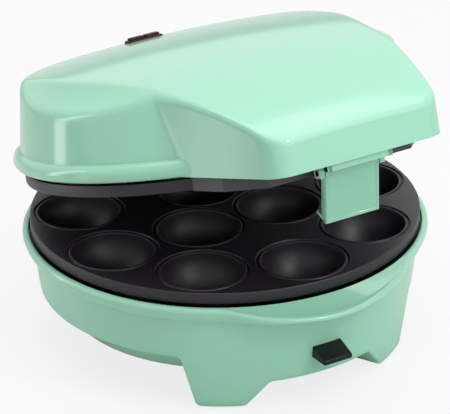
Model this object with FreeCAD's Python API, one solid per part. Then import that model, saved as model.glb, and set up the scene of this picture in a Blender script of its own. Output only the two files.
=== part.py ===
import FreeCAD, Part
import math
import os

os.makedirs("parts", exist_ok=True)

# A round tabletop cake maker: a bowl on four legs with a baking plate, a hooded
# lid with a second plate hinged at the back, a latch at the front and a plate
# release button. Front is -Y, +Z is up, the feet stand on z = 0. Millimetres.

# baking plates
cavity_radius = 20.4
cavity_wall = 2.0
outer_count = 9
outer_land = 4.6
inner_count = 3
inner_land = 3.0
rim_margin = 4.5
plate_band = 6.0
plate_skin = 2.4
plate_gap = 0.4

# base bowl
skirt_height = 29.0
wall_height = 20.5
lip_height = 9.0
lip_gap = 2.5
lip_clearance = 0.8
lip_wall = 3.7
lip_overhang = 5.5
shell_wall = 2.5
bowl_draft = 10.0
apron_drop = 17.0
visor_overhang = 9.5
visor_radius = 70.0
visor_edge = 2.6
visor_drop = 4.3
visor_rim = 1.1
visor_skin = 2.2
pocket_play = 1.0
pan_ledge_width = 3.8
pan_ledge_drop = 3.5

# legs and feet
front_leg_angle = 33.5
rear_leg_angle = 142.0
leg_foot_half = 12.0
leg_outer_flare = 6.5
leg_inner_flare = 17.0
leg_flare_height = 4.0
leg_depth = 14.0
pad_height = 2.4
pad_proud = 0.8
pad_size = 9.0

# bottom cover
cover_drop = 12.0
cover_step = 10.5
cover_skin = 2.5
cover_rim = 3.0
cover_clearance = 0.4
post_radius = 4.5
post_ring = 40.0

# lid
ajar_angle = 15.9
plate_drop = 7.3
lid_wall = 2.5
bead_proud = 2.7
lid_draft = 9.6
roof_height = 48.7
roof_radius = 457.0
roof_apex_back = 0.5
roof_crown = 840.0
nose_radius = 250.0
nose_start = 52.0
shoulder_inset = 4.0
shoulder_half = 79.5
shoulder_height = 39.6
shoulder_slope = 21.8
hood_overhang = 36.0
hood_half = 46.5
hood_taper = 15.3
hood_corner = 12.5

# hood lining
lining_skin = 2.0
lining_lift = 1.0
chin_half = 40.0
chin_overhang = 14.0
chin_side_half = 60.0
chin_side_inset = 6.0
lining_screw_half = 34.0
lining_screw_inset = 14.5

# hinge
hinge_gap = 8.0
hinge_drop = 4.5
hinge_radius = 6.0
hinge_pin_radius = 2.5
lid_knuckle_half = 23.6
ear_width = 10.0
side_clearance = 0.4
running_clearance = 0.05

# latch
latch_width = 30.0
latch_length = 27.3
latch_skin = 2.4
latch_barrel = 2.8
latch_pin_radius = 1.5
latch_inset = 13.8
latch_pivot_drop = 5.0
latch_hook = 6.4
latch_hook_rise = 2.6
latch_hook_skin = 1.6
latch_flange = 2.0
bracket_cheek = 2.8
bracket_inset = 2.9
bracket_rail = 4.0
bracket_drop = 7.6
bracket_lip = 3.6

# plate release
button_width = 16.0
button_height = 10.0
button_proud = 9.0
button_drop = 4.0
button_stem = 12.0
stem_half_height = 3.0
button_nose = 0.55
button_bevel = 1.5
release_travel = 4.0
prong_shift = 1.0
prong_width = 5.0
prong_skin = 2.4
catch_height = 1.5
catch_gap = 0.3
catch_reach = 1.6
release_spring_radius = 3.2
release_spring_wire = 0.8
release_spring_length = 12.0
release_spring_turns = 5

# heating
pan_skin = 1.0
pan_depth = 28.0
pan_waist_rise = 14.0
pan_waist_inset = 11.0
pan_floor_inset = 3.0
pan_mouth_flare = 6.6
hook_root_drop = 2.5
element_radius = 3.25
element_clearance = 0.8
element_gap_angle = 24.0
terminal_radius = 1.6
terminal_length = 12.0
clip_skin = 0.8
clip_width = 8.0
rest_width = 8.0
rest_depth = 5.0
rest_angles = (60.0, -60.0, 140.0, -140.0)

# electrical pieces
thermostat_radius = 8.0
thermostat_height = 6.0
thermostat_cap = 2.0
blade_spread = 4.4
blade_half = 2.0
blade_skin = 1.0
blade_length = 5.0
fuse_radius = 2.4
fuse_length = 16.0
fuse_back = 28.0
block_length = 34.0
block_width = 16.0
block_height = 11.0
block_inset = 16.0
well_radius = 2.2
well_depth = 5.0
lead_radius = 1.1
lead_drop = 3.0
lead_rise = 2.5
lead_spread = 15.0
gland_radius = 6.5
gland_flange = 9.0
gland_flange_height = 3.0
gland_bore = 3.8
gland_rise = 11.0
gland_inside = 4.0
gland_boss_wall = 1.5
gland_boss_proud = 0.5

# indicator lamps
lamp_length = 20.0
lamp_width = 7.0
lamp_proud = 2.4
lamp_back = 61.0
lamp_rim = 1.2
lamp_sink = 6.0
holder_skin = 2.0
neon_radius = 2.6
neon_length = 10.0

# screws
screw_radius = 1.4
screw_head = 3.0
screw_head_height = 2.0
screw_length = 12.0
screw_clearance = 0.1

def vec(x, y, z):
    return FreeCAD.Vector(x, y, z)


def slope(angle):
    return math.tan(math.radians(angle))


def ring_of(count, land):
    """Radius of a ring of cavities with a land on each side of each."""
    return (cavity_radius + land) / math.sin(math.pi / count)


# plan sizes, from the cavities outwards
outer_ring = ring_of(outer_count, outer_land)
inner_ring = ring_of(inner_count, inner_land)
element_ring = (outer_ring + inner_ring) / 2
plate_radius = outer_ring + cavity_radius + rim_margin
lip_inside = plate_radius + lip_clearance
lip_radius = lip_inside + lip_wall
bowl_radius = lip_radius - lip_overhang
cover_edge = bowl_radius - wall_height * slope(bowl_draft) - shell_wall - cover_clearance
cover_radius = cover_edge - cover_step
visor_reach = lip_radius + visor_overhang
pan_waist_radius = plate_radius - pan_waist_inset
pan_floor_radius = pan_waist_radius - pan_floor_inset
rest_reach = lip_inside - pan_ledge_width
prong_offset = cavity_radius + outer_land + prong_shift
block_back = cover_radius - block_inset
gland_boss_back = bowl_radius + gland_boss_proud
lid_radius = lip_radius - bead_proud
hood_reach = lip_radius + hood_overhang
chin_reach = lip_radius + chin_overhang
chin_side_reach = plate_radius - chin_side_inset
lining_screw_reach = hood_reach - lining_screw_inset
latch_pivot_reach = hood_reach - latch_inset
bracket_rail_reach = hood_reach - bracket_inset
hinge_back = lip_radius + hinge_gap

# heights, from the table upwards
pad_floor = pad_proud
apron_height = skirt_height - apron_drop
cover_height = skirt_height - cover_drop
cover_rim_height = skirt_height + cover_rim
gland_height = skirt_height + gland_rise
lip_bottom = skirt_height + wall_height
lip_top = lip_bottom + lip_height
pan_ledge = lip_top - pan_ledge_drop
plate_height = lip_top + lip_gap
plate_top = plate_height + plate_band
closed_middle = plate_top + plate_gap / 2
pan_floor = plate_height - pan_depth
pan_waist_height = pan_floor + pan_waist_rise
button_centre = pan_floor - button_drop
flange_z = plate_top + plate_gap + plate_drop
hinge_z = flange_z - hinge_drop
roof_z = flange_z + roof_height
lamp_top = roof_z - (lamp_back - roof_apex_back) ** 2 / (2 * roof_radius)


def polar(radius, angle, z):
    """A point at a plan angle counted from the front, positive towards +X."""
    a = math.radians(angle)
    return vec(radius * math.sin(a), -radius * math.cos(a), z)


def face(points):
    return Part.Face(Part.makePolygon(list(points) + [points[0]]))


def turned(profile):
    """A solid turned about Z from (radius, height) corners."""
    return face([vec(r, 0, z) for r, z in profile]).revolve(vec(0, 0, 0), vec(0, 0, 1), 360)


def plan_prism(points, low, high):
    return face([vec(x, y, low) for x, y in points]).extrude(vec(0, 0, high - low))


def side_prism(points, left, right):
    """A (y, z) outline carried along X."""
    return face([vec(left, y, z) for y, z in points]).extrude(vec(right - left, 0, 0))


def front_prism(points, near, far):
    """An (x, z) outline carried along Y."""
    return face([vec(x, near, z) for x, z in points]).extrude(vec(0, far - near, 0))


def rod(start, end, radius):
    along = end - start
    return Part.makeCylinder(radius, along.Length, start, along)


def box(low, high):
    return Part.makeBox(high[0] - low[0], high[1] - low[1], high[2] - low[2], vec(*low))


def at_angle(shape, angle):
    """Turn a piece made at the front round the bowl axis, positive towards +X."""
    return shape.rotated(vec(0, 0, 0), vec(0, 0, 1), angle)


def mirrored_pair(shape):
    return [shape, shape.mirror(vec(0, 0, 0), vec(1, 0, 0))]


def turned_over(shape):
    """A lower piece's twin in the lid, mirrored across the closed joint."""
    return shape.mirror(vec(0, 0, closed_middle), vec(0, 0, 1))


def bowl_at(z):
    """Outer radius of the drafted bowl wall at a height."""
    return bowl_radius - (lip_bottom - z) * slope(bowl_draft)


def cavity_centres():
    step = 360.0 / outer_count
    places = [polar(outer_ring, i * step, 0) for i in range(outer_count)]
    step = 360.0 / inner_count
    return places + [polar(inner_ring, 180 + i * step, 0) for i in range(inner_count)]


def half_ball(radius, place):
    """The lower half of a ball centred on a point."""
    return Part.makeSphere(radius, place, vec(0, 0, 1), -90, 0, 360)


def baking_plate():
    """A plate facing up with its rim band, its cups and their cavities."""
    plate = Part.makeCylinder(plate_radius, plate_band, vec(0, 0, plate_height))
    hollow = Part.makeCylinder(plate_radius - plate_skin, plate_band - plate_skin, vec(0, 0, plate_height))
    plate = plate.cut(hollow)
    tops = [centre + vec(0, 0, plate_top) for centre in cavity_centres()]
    plate = plate.fuse([half_ball(cavity_radius + cavity_wall, top) for top in tops])
    return plate.cut([half_ball(cavity_radius, top) for top in tops])


def catch_places():
    """Plan places of the lugs that hold a plate down: (centre x, turn) pairs."""
    return ((-prong_offset, 0.0), (prong_offset, 0.0), (0.0, 180.0))


def rim_face(centre):
    """Distance from the axis of a flat lug just inside the plate's rim."""
    return math.sqrt(plate_radius ** 2 - (abs(centre) + prong_width) ** 2)


def catch_lug(centre, turn):
    """An L-shaped lug under the plate's rim that a hook reaches over."""
    rim = rim_face(centre)
    inner = rim - plate_skin
    foot = inner - catch_reach
    low = plate_height - prong_skin - 2 * catch_gap - catch_height
    root = plate_height + plate_skin / 2
    outline = [(-rim, root), (-rim, low), (-foot, low), (-foot, low + catch_height),
               (-inner, low + catch_height), (-inner, root)]
    half = prong_width / 2
    return at_angle(side_prism(outline, centre - half, centre + half), turn)


def catch_hook(centre, turn):
    """A fixed tab on the pan whose hook holds one of the plate's lugs."""
    face_y = rim_face(centre) - plate_skin - catch_reach - catch_gap
    top = plate_height - catch_gap
    low = top - prong_skin
    root = pan_ledge - hook_root_drop
    outline = [(-face_y, root), (-face_y, low), (-face_y - catch_reach, low), (-face_y - catch_reach, top),
               (-face_y + prong_skin, top), (-face_y + prong_skin, root)]
    half = prong_width / 2 - catch_gap
    return at_angle(side_prism(outline, centre - half, centre + half), turn)


def lower_baking_plate():
    return baking_plate().fuse([catch_lug(*place) for place in catch_places()])


def upper_baking_plate():
    return turned_over(lower_baking_plate())


def leg_outline(side):
    """A leg seen from outside; the side towards the apron flares more."""
    top = skirt_height + shell_wall
    inner = leg_foot_half + leg_inner_flare
    outer = -leg_foot_half - leg_outer_flare
    outline = [(outer, top), (-leg_foot_half, pad_floor), (leg_foot_half, pad_floor),
               (inner, apron_height + leg_flare_height), (inner, top)]
    return [(side * x, z) for x, z in outline]


def leg_prisms():
    prisms = []
    for angle in leg_angles():
        towards_middle = -1 if angle > 0 else 1
        if abs(angle) > 90:
            towards_middle = -towards_middle
        prism = front_prism(leg_outline(towards_middle), -2 * bowl_radius, -bowl_radius / 2)
        prisms.append(at_angle(prism, angle))
    return prisms


def leg_angles():
    return (front_leg_angle, -front_leg_angle, rear_leg_angle, -rear_leg_angle)


def bowl_outside():
    low = pad_floor
    return turned([(0, low), (bowl_at(low), low), (bowl_radius, lip_bottom), (bowl_radius, lip_top),
                   (0, lip_top)])


def lip():
    """The rounded rim bead round the top of the bowl."""
    edge = lip_height / 3
    return turned([(bowl_radius - shell_wall, lip_bottom), (lip_radius - edge / 2, lip_bottom),
                   (lip_radius, lip_bottom + edge), (lip_radius, lip_top - edge),
                   (lip_radius - edge, lip_top), (bowl_radius - shell_wall, lip_top)])


def visor():
    """The lip widened over the front, with a top that falls towards its edge."""
    low = lip_top - visor_drop - visor_edge
    disc = Part.makeCylinder(visor_radius, lip_top - low, vec(0, visor_radius - visor_reach, low))
    fall = [(-lip_inside, lip_top), (-visor_reach, lip_top - visor_drop),
            (-visor_reach - lip_height, lip_top - visor_drop - lip_height),
            (-visor_reach - lip_height, lip_top + lip_height), (-lip_inside, lip_top + lip_height)]
    return disc.cut(side_prism(fall, -lip_radius, lip_radius))


def visor_pocket():
    """The hollow behind the visor's rim that the latch hooks up into."""
    half = latch_width / 2 + pocket_play
    low = lip_bottom - shell_wall
    back = lip_inside + lip_wall / 2
    fall = visor_drop / (visor_reach - lip_inside)
    top = lip_top - visor_skin
    outline = [(-back, low), (-visor_reach, low), (-visor_reach, top - visor_drop),
               (-back, top - (back - lip_inside) * fall)]
    centre = vec(0, visor_radius - visor_reach, low)
    disc = Part.makeCylinder(visor_radius - visor_rim, 2 * lip_height, centre)
    return side_prism(outline, -half, half).common(disc)


def hinge_ear(side):
    inner = lid_knuckle_half + side_clearance
    outer = inner + ear_width
    left, right = (inner, outer) if side > 0 else (-outer, -inner)
    foot = bowl_radius - shell_wall
    outline = [(foot, lip_bottom), (lip_radius + hinge_radius, lip_bottom),
               (hinge_back + hinge_radius, hinge_z), (hinge_back - hinge_radius, hinge_z), (foot, lip_top)]
    ear = side_prism(outline, left, right)
    barrel = rod(vec(left, hinge_back, hinge_z), vec(right, hinge_back, hinge_z), hinge_radius)
    return ear.fuse(barrel)


def bowl_inside():
    """The space inside the bowl, with the ledge that carries the heat pan."""
    low = -1.0
    neck = pan_ledge - shell_wall
    ledge = lip_inside - pan_ledge_width
    return turned([(0, low), (bowl_at(low) - shell_wall, low), (bowl_at(neck) - shell_wall, neck),
                   (ledge, neck), (ledge, pan_ledge), (lip_inside, pan_ledge),
                   (lip_inside, 2 * lip_top), (0, 2 * lip_top)])


def cover_outline(grow):
    """Corners of the bottom cover's outside, grown by a clearance."""
    rim = cover_edge + grow
    return [(0, cover_height - grow), (cover_radius + grow, cover_height - grow),
            (rim, skirt_height - grow), (rim, cover_rim_height + grow), (0, cover_rim_height + grow)]


def leg_ring():
    """The ring of which the solid feet of the legs are cut."""
    inner = bowl_at(0) - leg_depth
    return turned([(inner, pad_floor), (bowl_at(pad_floor) - shell_wall / 2, pad_floor),
                   (bowl_at(cover_height) - shell_wall / 2, cover_height + shell_wall),
                   (inner, cover_height + shell_wall)])


def screw_ring():
    return bowl_at(0) - leg_depth / 2


def base_shell():
    outside = bowl_outside().fuse([lip(), visor(), hinge_ear(-1), hinge_ear(1)])
    shell = outside.cut([bowl_inside(), visor_pocket()])
    legs = leg_prisms()
    half = bowl_radius * math.sin(math.radians(front_leg_angle))
    top = skirt_height + shell_wall
    apron = front_prism([(-half, apron_height), (half, apron_height), (half, top), (-half, top)],
                        -2 * bowl_radius, -bowl_radius / 2)
    wide = 2 * lip_radius
    upper = box((-wide, -wide, skirt_height), (wide, wide, 2 * lip_top))
    keep = upper.fuse(legs + [apron])
    shell = shell.common(keep)
    blocks = leg_ring().common(legs[0].fuse(legs[1:]))
    shell = shell.fuse(blocks).cut(turned(cover_outline(cover_clearance / 2)))
    boss = rod(vec(0, bowl_radius - shell_wall * 4, gland_height), vec(0, gland_boss_back, gland_height),
               gland_flange + gland_boss_wall)
    boss = boss.cut(bowl_inside())
    shell = shell.fuse(boss)
    tools = []
    for angle in leg_angles():
        place = polar(screw_ring(), angle, 0)
        tools.append(rod(place, place + vec(0, 0, cover_rim_height), screw_radius + screw_clearance))
        tools.append(rod(place, place + vec(0, 0, pad_floor + pad_height + screw_head_height),
                         screw_head + screw_clearance))
        tools.append(at_angle(pad_shape(screw_clearance), angle))
    bore = hinge_pin_radius + running_clearance
    far = lid_knuckle_half + ear_width + side_clearance + 1
    tools.append(rod(vec(-far, hinge_back, hinge_z), vec(far, hinge_back, hinge_z), bore))
    tools.append(rod(vec(0, bowl_radius / 2, gland_height), vec(0, 2 * bowl_radius, gland_height),
                     gland_radius + running_clearance))
    tools.append(release_path())
    return shell.cut(tools).removeSplitter()


def pad_shape(grow):
    """A rubber foot pad at the front, standing on the table."""
    half = pad_size / 2 + grow
    centre = screw_ring()
    corner = half / 2
    pad = box((-half, -centre - half, 0), (half, -centre + half, pad_floor + pad_height - pad_proud + grow))
    upright = [e for e in pad.Edges if abs(e.tangentAt(e.FirstParameter).z) > 0.9]
    return pad.makeFillet(corner, upright)


def foot_pads():
    return Part.makeCompound([at_angle(pad_shape(0), angle) for angle in leg_angles()])


def bottom_cover():
    outer = turned(cover_outline(0))
    rim = cover_edge - cover_skin
    top = 2 * cover_rim_height
    inside = cover_height + cover_skin
    inner = turned([(0, inside), (cover_radius - cover_skin / 2, inside),
                    (rim, skirt_height + cover_skin / 2), (rim, top), (0, top)])
    dish = outer.cut(inner)
    floor = cover_height + cover_skin / 2
    posts = [rod(polar(post_ring, a, floor), polar(post_ring, a, pan_floor), post_radius)
             for a in post_angles()]
    bosses = [rod(polar(screw_ring(), a, floor), polar(screw_ring(), a, cover_rim_height), post_radius)
              for a in leg_angles()]
    bosses = [b.common(outer) for b in bosses]
    hole = screw_radius + screw_clearance
    holes = [rod(polar(post_ring, a, floor), polar(post_ring, a, pan_floor + 1), hole) for a in post_angles()]
    holes += [rod(polar(screw_ring(), a, 0), polar(screw_ring(), a, top), hole) for a in leg_angles()]
    relief = release_path()
    return dish.fuse(posts + bosses).cut(holes + [relief])


def post_angles():
    return (0.0, 120.0, -120.0)


def screw(head_low, length):
    """A pan-head screw pointing up, its head's underside at the given place."""
    shank = rod(head_low, head_low + vec(0, 0, length), screw_radius)
    head = rod(head_low - vec(0, 0, screw_head_height), head_low, screw_head)
    return shank.fuse(head)


def cover_screws():
    low = pad_floor + pad_height + screw_head_height
    length = cover_rim_height - low - cover_skin
    return Part.makeCompound([screw(polar(screw_ring(), a, low), length) for a in leg_angles()])


def pan_screws():
    top = pan_floor + pan_skin
    screws = []
    for angle in post_angles():
        place = polar(post_ring, angle, top)
        upright = screw(place, screw_length)
        screws.append(upright.mirror(place, vec(0, 0, 1)))
    return Part.makeCompound(screws)


def pan(hooks):
    """The heat pan: a flanged dish with rests and fixed hooks for the plate."""
    flange = lip_inside - lip_clearance / 2
    mouth = pan_waist_radius + pan_mouth_flare
    outer = [(0, pan_floor), (pan_floor_radius + pan_skin, pan_floor),
             (pan_waist_radius + pan_skin, pan_waist_height), (mouth + pan_skin, pan_ledge),
             (flange, pan_ledge), (flange, pan_ledge + pan_skin), (mouth, pan_ledge + pan_skin),
             (pan_waist_radius, pan_waist_height + pan_skin), (pan_floor_radius, pan_floor + pan_skin),
             (0, pan_floor + pan_skin)]
    dish = turned(outer)
    rests = []
    under = plate_top - plate_skin
    half = rest_width / 2
    for angle in rest_angles:
        rest = box((-half, -rest_reach, pan_ledge), (half, -rest_reach + rest_depth, under))
        rests.append(at_angle(rest, angle))
    room = mouth - pan_skin
    mouth_space = turned([(0, pan_floor), (room, pan_floor), (room, pan_ledge), (0, pan_ledge)])
    dish = dish.fuse([rest.cut(mouth_space) for rest in rests] + hooks)
    return dish.cut(terminal_holes())


def element_height():
    """Height of the lower heating rod's centre line, just under the cups."""
    return plate_top - cavity_radius - cavity_wall - element_clearance - element_radius


def heating_element():
    """A bent tubular heater, nearly a full ring, with its two end terminals."""
    gap = element_gap_angle / 2
    z = element_height()
    ring = Part.makeTorus(element_ring, element_radius, vec(0, 0, z), vec(0, 0, 1), 0, 360, 360 - 2 * gap)
    ring = ring.rotated(vec(0, 0, 0), vec(0, 0, 1), 90 + gap)
    pieces = []
    for side in (-1, 1):
        end = polar(element_ring, 180 + side * gap, z)
        ball = Part.makeSphere(element_radius, end)
        low = vec(end.x, end.y, pan_floor - terminal_length / 2)
        tail = rod(end, vec(end.x, end.y, pan_floor - 1), element_radius)
        tip = rod(end, low, terminal_radius)
        pieces += [ball, tail, tip]
    return ring.fuse(pieces)


def terminal_holes():
    gap = element_gap_angle / 2
    under = pan_floor - 1
    over = pan_floor + 2 * pan_skin
    holes = []
    for side in (-1, 1):
        angle = 180 + side * gap
        holes.append(rod(polar(element_ring, angle, under), polar(element_ring, angle, over),
                         element_radius + running_clearance))
    for angle in post_angles():
        holes.append(rod(polar(post_ring, angle, under), polar(post_ring, angle, over),
                         screw_radius + screw_clearance))
    return holes


def element_clips():
    """Bent straps that hold the heating rod up off the pan's floor."""
    clips = []
    z = element_height()
    grip = element_radius + running_clearance
    top = pan_floor + pan_skin
    half = clip_width / 2
    for angle in (60.0, -60.0):
        near = element_ring - grip - clip_skin
        far = element_ring + grip + clip_skin
        strap = box((-half, -far, top), (half, -near, z))
        hole = box((-half, -far + clip_skin, top + clip_skin), (half, -near - clip_skin, z))
        strap = strap.cut(hole)
        clips.append(at_angle(strap, angle))
    return Part.makeCompound(clips)


def lower_heat_pan():
    """The front lugs of the lower plate are held by the release instead."""
    fixed = [catch_hook(centre, turn) for centre, turn in catch_places() if turn > 0]
    return pan(fixed).cut(release_path())


def release_wall():
    """Distance in front of the axis of the apron's outside at the button."""
    return bowl_at(button_centre)


def release_bar():
    """Distance in front of the axis of the cross bar's front face."""
    reach = prong_offset + prong_width / 2
    room = bowl_at(button_centre - stem_half_height) - shell_wall
    return math.sqrt(room ** 2 - reach ** 2) - 2 * catch_gap


def release_button():
    """The wedge button with its stem, cross bar and the two hooked prongs."""
    half = button_width / 2
    low = button_centre - button_height / 2
    high = button_centre + button_height / 2
    out = release_wall() + button_proud
    stop = bowl_at(high) + release_travel + catch_gap
    nose = low + button_height * button_nose
    wedge = side_prism([(-stop, high), (-out, nose), (-out, low + button_bevel), (-out + button_bevel, low),
                        (-stop, low)], -half, half)
    bar_y = release_bar()
    stem_half = button_stem / 2
    under = button_centre - stem_half_height
    over = button_centre + stem_half_height
    stem = box((-stem_half, -stop - 1, under), (stem_half, -bar_y, over))
    reach = prong_offset + prong_width / 2
    bar = box((-reach, -bar_y, under), (reach, -bar_y + prong_skin, over))
    return wedge.fuse([stem, bar, release_prong(-1, bar_y), release_prong(1, bar_y)])


def release_prong(side, bar_y):
    """A leaning arm up to the plate's rim, with a hook over the plate's lug."""
    centre = side * prong_offset
    face_y = rim_face(centre) - plate_skin - catch_reach - catch_gap
    top = plate_height - catch_gap
    low = top - prong_skin
    under = button_centre - stem_half_height
    outline = [(-bar_y, under), (-face_y, low - prong_skin), (-face_y, low),
               (-face_y - catch_reach, low), (-face_y - catch_reach, top), (-face_y + prong_skin, top),
               (-face_y + prong_skin, low - prong_skin), (-bar_y + prong_skin, under)]
    half = prong_width / 2 - catch_gap
    return side_prism(outline, centre - half, centre + half)


def release_path():
    """Room in the shell, the cover and the pan for the release to travel."""
    play = 2 * catch_gap
    stem_half = button_stem / 2 + catch_gap
    under = button_centre - stem_half_height
    over = button_centre + stem_half_height
    slot = box((-stem_half, -2 * bowl_radius, under - catch_gap),
               (stem_half, -bowl_radius / 2, over + catch_gap))
    bar_y = release_bar()
    front = rim_face(prong_offset) - plate_skin + play
    back = bar_y - prong_skin - release_travel - play
    half = prong_width / 2 + catch_gap
    outline = [(-bar_y - play, under - play), (-front, plate_height - 3 * prong_skin),
               (-front, lip_top + 1), (-back, lip_top + 1), (-back, under - play)]
    prong_room = side_prism(outline, prong_offset - half, prong_offset + half)
    reach = prong_offset + half
    bar_room = box((-reach, -bar_y - play, under - play), (reach, -back, over + play))
    return slot.fuse(mirrored_pair(prong_room) + [bar_room])


def release_spring():
    """The return spring between the cross bar and its post on the cover."""
    bar_back = release_bar() - prong_skin
    pitch = (release_spring_length - release_spring_wire) / release_spring_turns
    radius = release_spring_radius
    start = vec(0, 0, release_spring_wire / 2)
    helix = Part.makeHelix(pitch, pitch * release_spring_turns, radius)
    circle = Part.Wire([Part.makeCircle(release_spring_wire / 2, vec(radius, 0, 0), vec(0, 1, 0))])
    coil = Part.Wire(helix.Edges).makePipeShell([circle], True, False)
    coil.translate(start)
    coil.rotate(vec(0, 0, 0), vec(1, 0, 0), -90)
    coil.translate(vec(0, -bar_back, button_centre))
    return coil


def spring_post():
    """The bracket on the bottom cover that the return spring pushes on."""
    bar_back = release_bar() - prong_skin
    near = -bar_back + release_spring_length
    low = cover_height + cover_skin
    half = release_spring_radius + 2
    plate = box((-half, near, low), (half, near + prong_skin, pan_floor - pan_skin))
    foot = box((-half, near, low), (half, near + 5 * prong_skin, low + prong_skin))
    peg = rod(vec(0, near - release_spring_length / 3, button_centre), vec(0, near, button_centre),
              release_spring_radius - release_spring_wire)
    return plate.fuse([foot, peg])


def thermostat():
    """A bimetal thermostat button under the pan, with its two blades."""
    top = pan_floor
    body = rod(vec(0, 0, top - thermostat_height), vec(0, 0, top), thermostat_radius)
    low = top - thermostat_height
    cap = rod(vec(0, 0, low - thermostat_cap), vec(0, 0, low), thermostat_radius - thermostat_cap)
    blade = box((blade_spread - blade_half, -blade_skin, low - blade_length),
                (blade_spread + blade_half, 0, low))
    return body.fuse([cap] + mirrored_pair(blade))


def thermal_fuse():
    """A cylindrical thermal cut-out lying against the pan."""
    centre = pan_floor - fuse_radius
    half = fuse_length / 2
    body = rod(vec(-half, fuse_back, centre), vec(half, fuse_back, centre), fuse_radius)
    pins = rod(vec(-fuse_length, fuse_back, centre), vec(fuse_length, fuse_back, centre), fuse_radius / 3)
    return body.fuse(pins)


def terminal_block():
    """A two-pole screw terminal strip standing on the bottom cover."""
    low = cover_height + cover_skin
    half = block_length / 2
    y = block_back
    block = box((-half, y - block_width / 2, low), (half, y + block_width / 2, low + block_height))
    wells = []
    for i in range(2):
        x = (i - 0.5) * block_length / 2
        for dy in (-1, 1):
            mouth = vec(x, y + dy * block_width / 4, low + block_height)
            wells.append(rod(mouth - vec(0, 0, well_depth), mouth + vec(0, 0, 1), well_radius))
    return block.cut(wells)


def lead(points):
    """An insulated wire along straight runs with round elbows."""
    runs = [rod(a, b, lead_radius) for a, b in zip(points, points[1:])]
    elbows = [Part.makeSphere(lead_radius, p) for p in points[1:-1]]
    return runs[0].fuse(runs[1:] + elbows)


def base_wiring():
    """Leads between the terminal strip, the heater ends and the thermostat."""
    z = pan_floor - terminal_length / 2 - lead_drop
    tip = pan_floor - terminal_length / 2
    front = block_back - block_width / 2
    end = polar(element_ring, 180 - element_gap_angle / 2, 0)
    blade = blade_spread + blade_half
    mid_blade = -blade_skin / 2
    left = lead([vec(-end.x, end.y, tip), vec(-end.x, end.y, z), vec(-end.x, front, z)])
    right = lead([vec(end.x, end.y, tip), vec(end.x, end.y, z), vec(end.x, mid_blade, z),
                  vec(blade, mid_blade, z)])
    back = lead([vec(-blade, mid_blade, z), vec(-lead_spread, mid_blade, z), vec(-lead_spread, front, z)])
    return Part.makeCompound([left, right, back])


def lid_wiring():
    """Leads from the upper heater's ends to the two glow lamps."""
    tip = 2 * closed_middle - pan_floor + terminal_length / 2
    z = tip + lead_rise
    end = polar(element_ring, 180 - element_gap_angle / 2, 0)
    side = lamp_length / 4 + neon_radius + 2 * running_clearance
    run = lead([vec(end.x, end.y, tip), vec(end.x, end.y, z), vec(end.x, lamp_back, z),
                vec(side, lamp_back, z)])
    return Part.makeCompound(mirrored_pair(run))


def cord_gland():
    """The rear inlet bush that a power lead passes through."""
    inside = bowl_at(gland_height) - shell_wall - gland_inside
    start = vec(0, inside, gland_height)
    face_y = vec(0, gland_boss_back, gland_height)
    end = vec(0, gland_boss_back + gland_flange_height, gland_height)
    body = rod(start, end, gland_radius).fuse(rod(face_y, end, gland_flange))
    return body.cut(rod(start - vec(0, 1, 0), end + vec(0, 1, 0), gland_bore))


def hinge_pin():
    half = lid_knuckle_half + side_clearance + ear_width
    return rod(vec(-half, hinge_back, hinge_z), vec(half, hinge_back, hinge_z), hinge_pin_radius)


def hood_half_at(reach, inset):
    """Half width of the hood at a distance in front of the axis."""
    turn = math.cos(math.radians(hood_taper))
    return hood_half - inset / turn + (hood_reach - reach) * slope(hood_taper)


def hood_block(inset, low, high):
    front = hood_reach - inset
    back = hood_reach / 3
    near = hood_half_at(front, inset)
    far = hood_half_at(back, inset)
    block = plan_prism([(-near, -front), (near, -front), (far, -back), (-far, -back)], low, high)
    corners = [e for e in block.Edges
               if abs(e.tangentAt(e.FirstParameter).z) > 0.9 and e.CenterOfMass.y < -(front + back) / 2]
    return block.makeFillet(hood_corner - inset, corners)


def roof_block(inset):
    """Everything under the lid's crowned roof, bounded by two tangent arcs."""
    top = roof_z - inset
    back_r = roof_radius - inset
    nose_r = nose_radius - inset
    middle = vec(0, roof_apex_back, top - back_r)
    lean = math.asin((nose_start + roof_apex_back) / roof_radius)
    nose_middle = middle + vec(0, -math.sin(lean), math.cos(lean)) * (back_r - nose_r)

    def back_point(a):
        return middle + vec(0, -math.sin(a), math.cos(a)) * back_r

    def nose_point(a):
        return nose_middle + vec(0, -math.sin(a), math.cos(a)) * nose_r

    rear = -math.asin(1.3 * lip_radius / roof_radius)
    tip = math.asin(math.sin(lean) + (hood_reach + hood_corner - nose_start) / nose_radius)
    low = flange_z - 2 * plate_drop
    edges = [Part.Arc(back_point(rear), back_point((rear + lean) / 2), back_point(lean)).toShape(),
             Part.Arc(nose_point(lean), nose_point((lean + tip) / 2), nose_point(tip)).toShape()]
    start = back_point(rear)
    end = nose_point(tip)
    corners = [end, vec(0, end.y, low), vec(0, start.y, low), start]
    edges += [Part.makeLine(a, b) for a, b in zip(corners, corners[1:])]
    outline = Part.Face(Part.Wire(edges))
    spread = math.degrees(math.asin(1.3 * lip_radius / roof_crown))
    axis = vec(0, 0, roof_z - roof_crown)
    outline.rotate(axis, vec(0, 1, 0), -spread)
    return outline.revolve(axis, vec(0, 1, 0), 2 * spread)


def shoulder_wedge(edge, inset):
    """What lies outside a step and above the slope that falls away from it."""
    fall = slope(shoulder_slope)
    drop = inset / math.cos(math.radians(shoulder_slope))
    z = flange_z + shoulder_height - drop
    inner = edge - inset
    outer = 2 * lip_radius
    outline = [(inner, z + inset * fall), (outer, z - (outer - edge) * fall),
               (outer, 2 * roof_z), (inner, 2 * roof_z)]
    return front_prism(outline, -2 * hood_reach, 2 * hood_reach)


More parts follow.
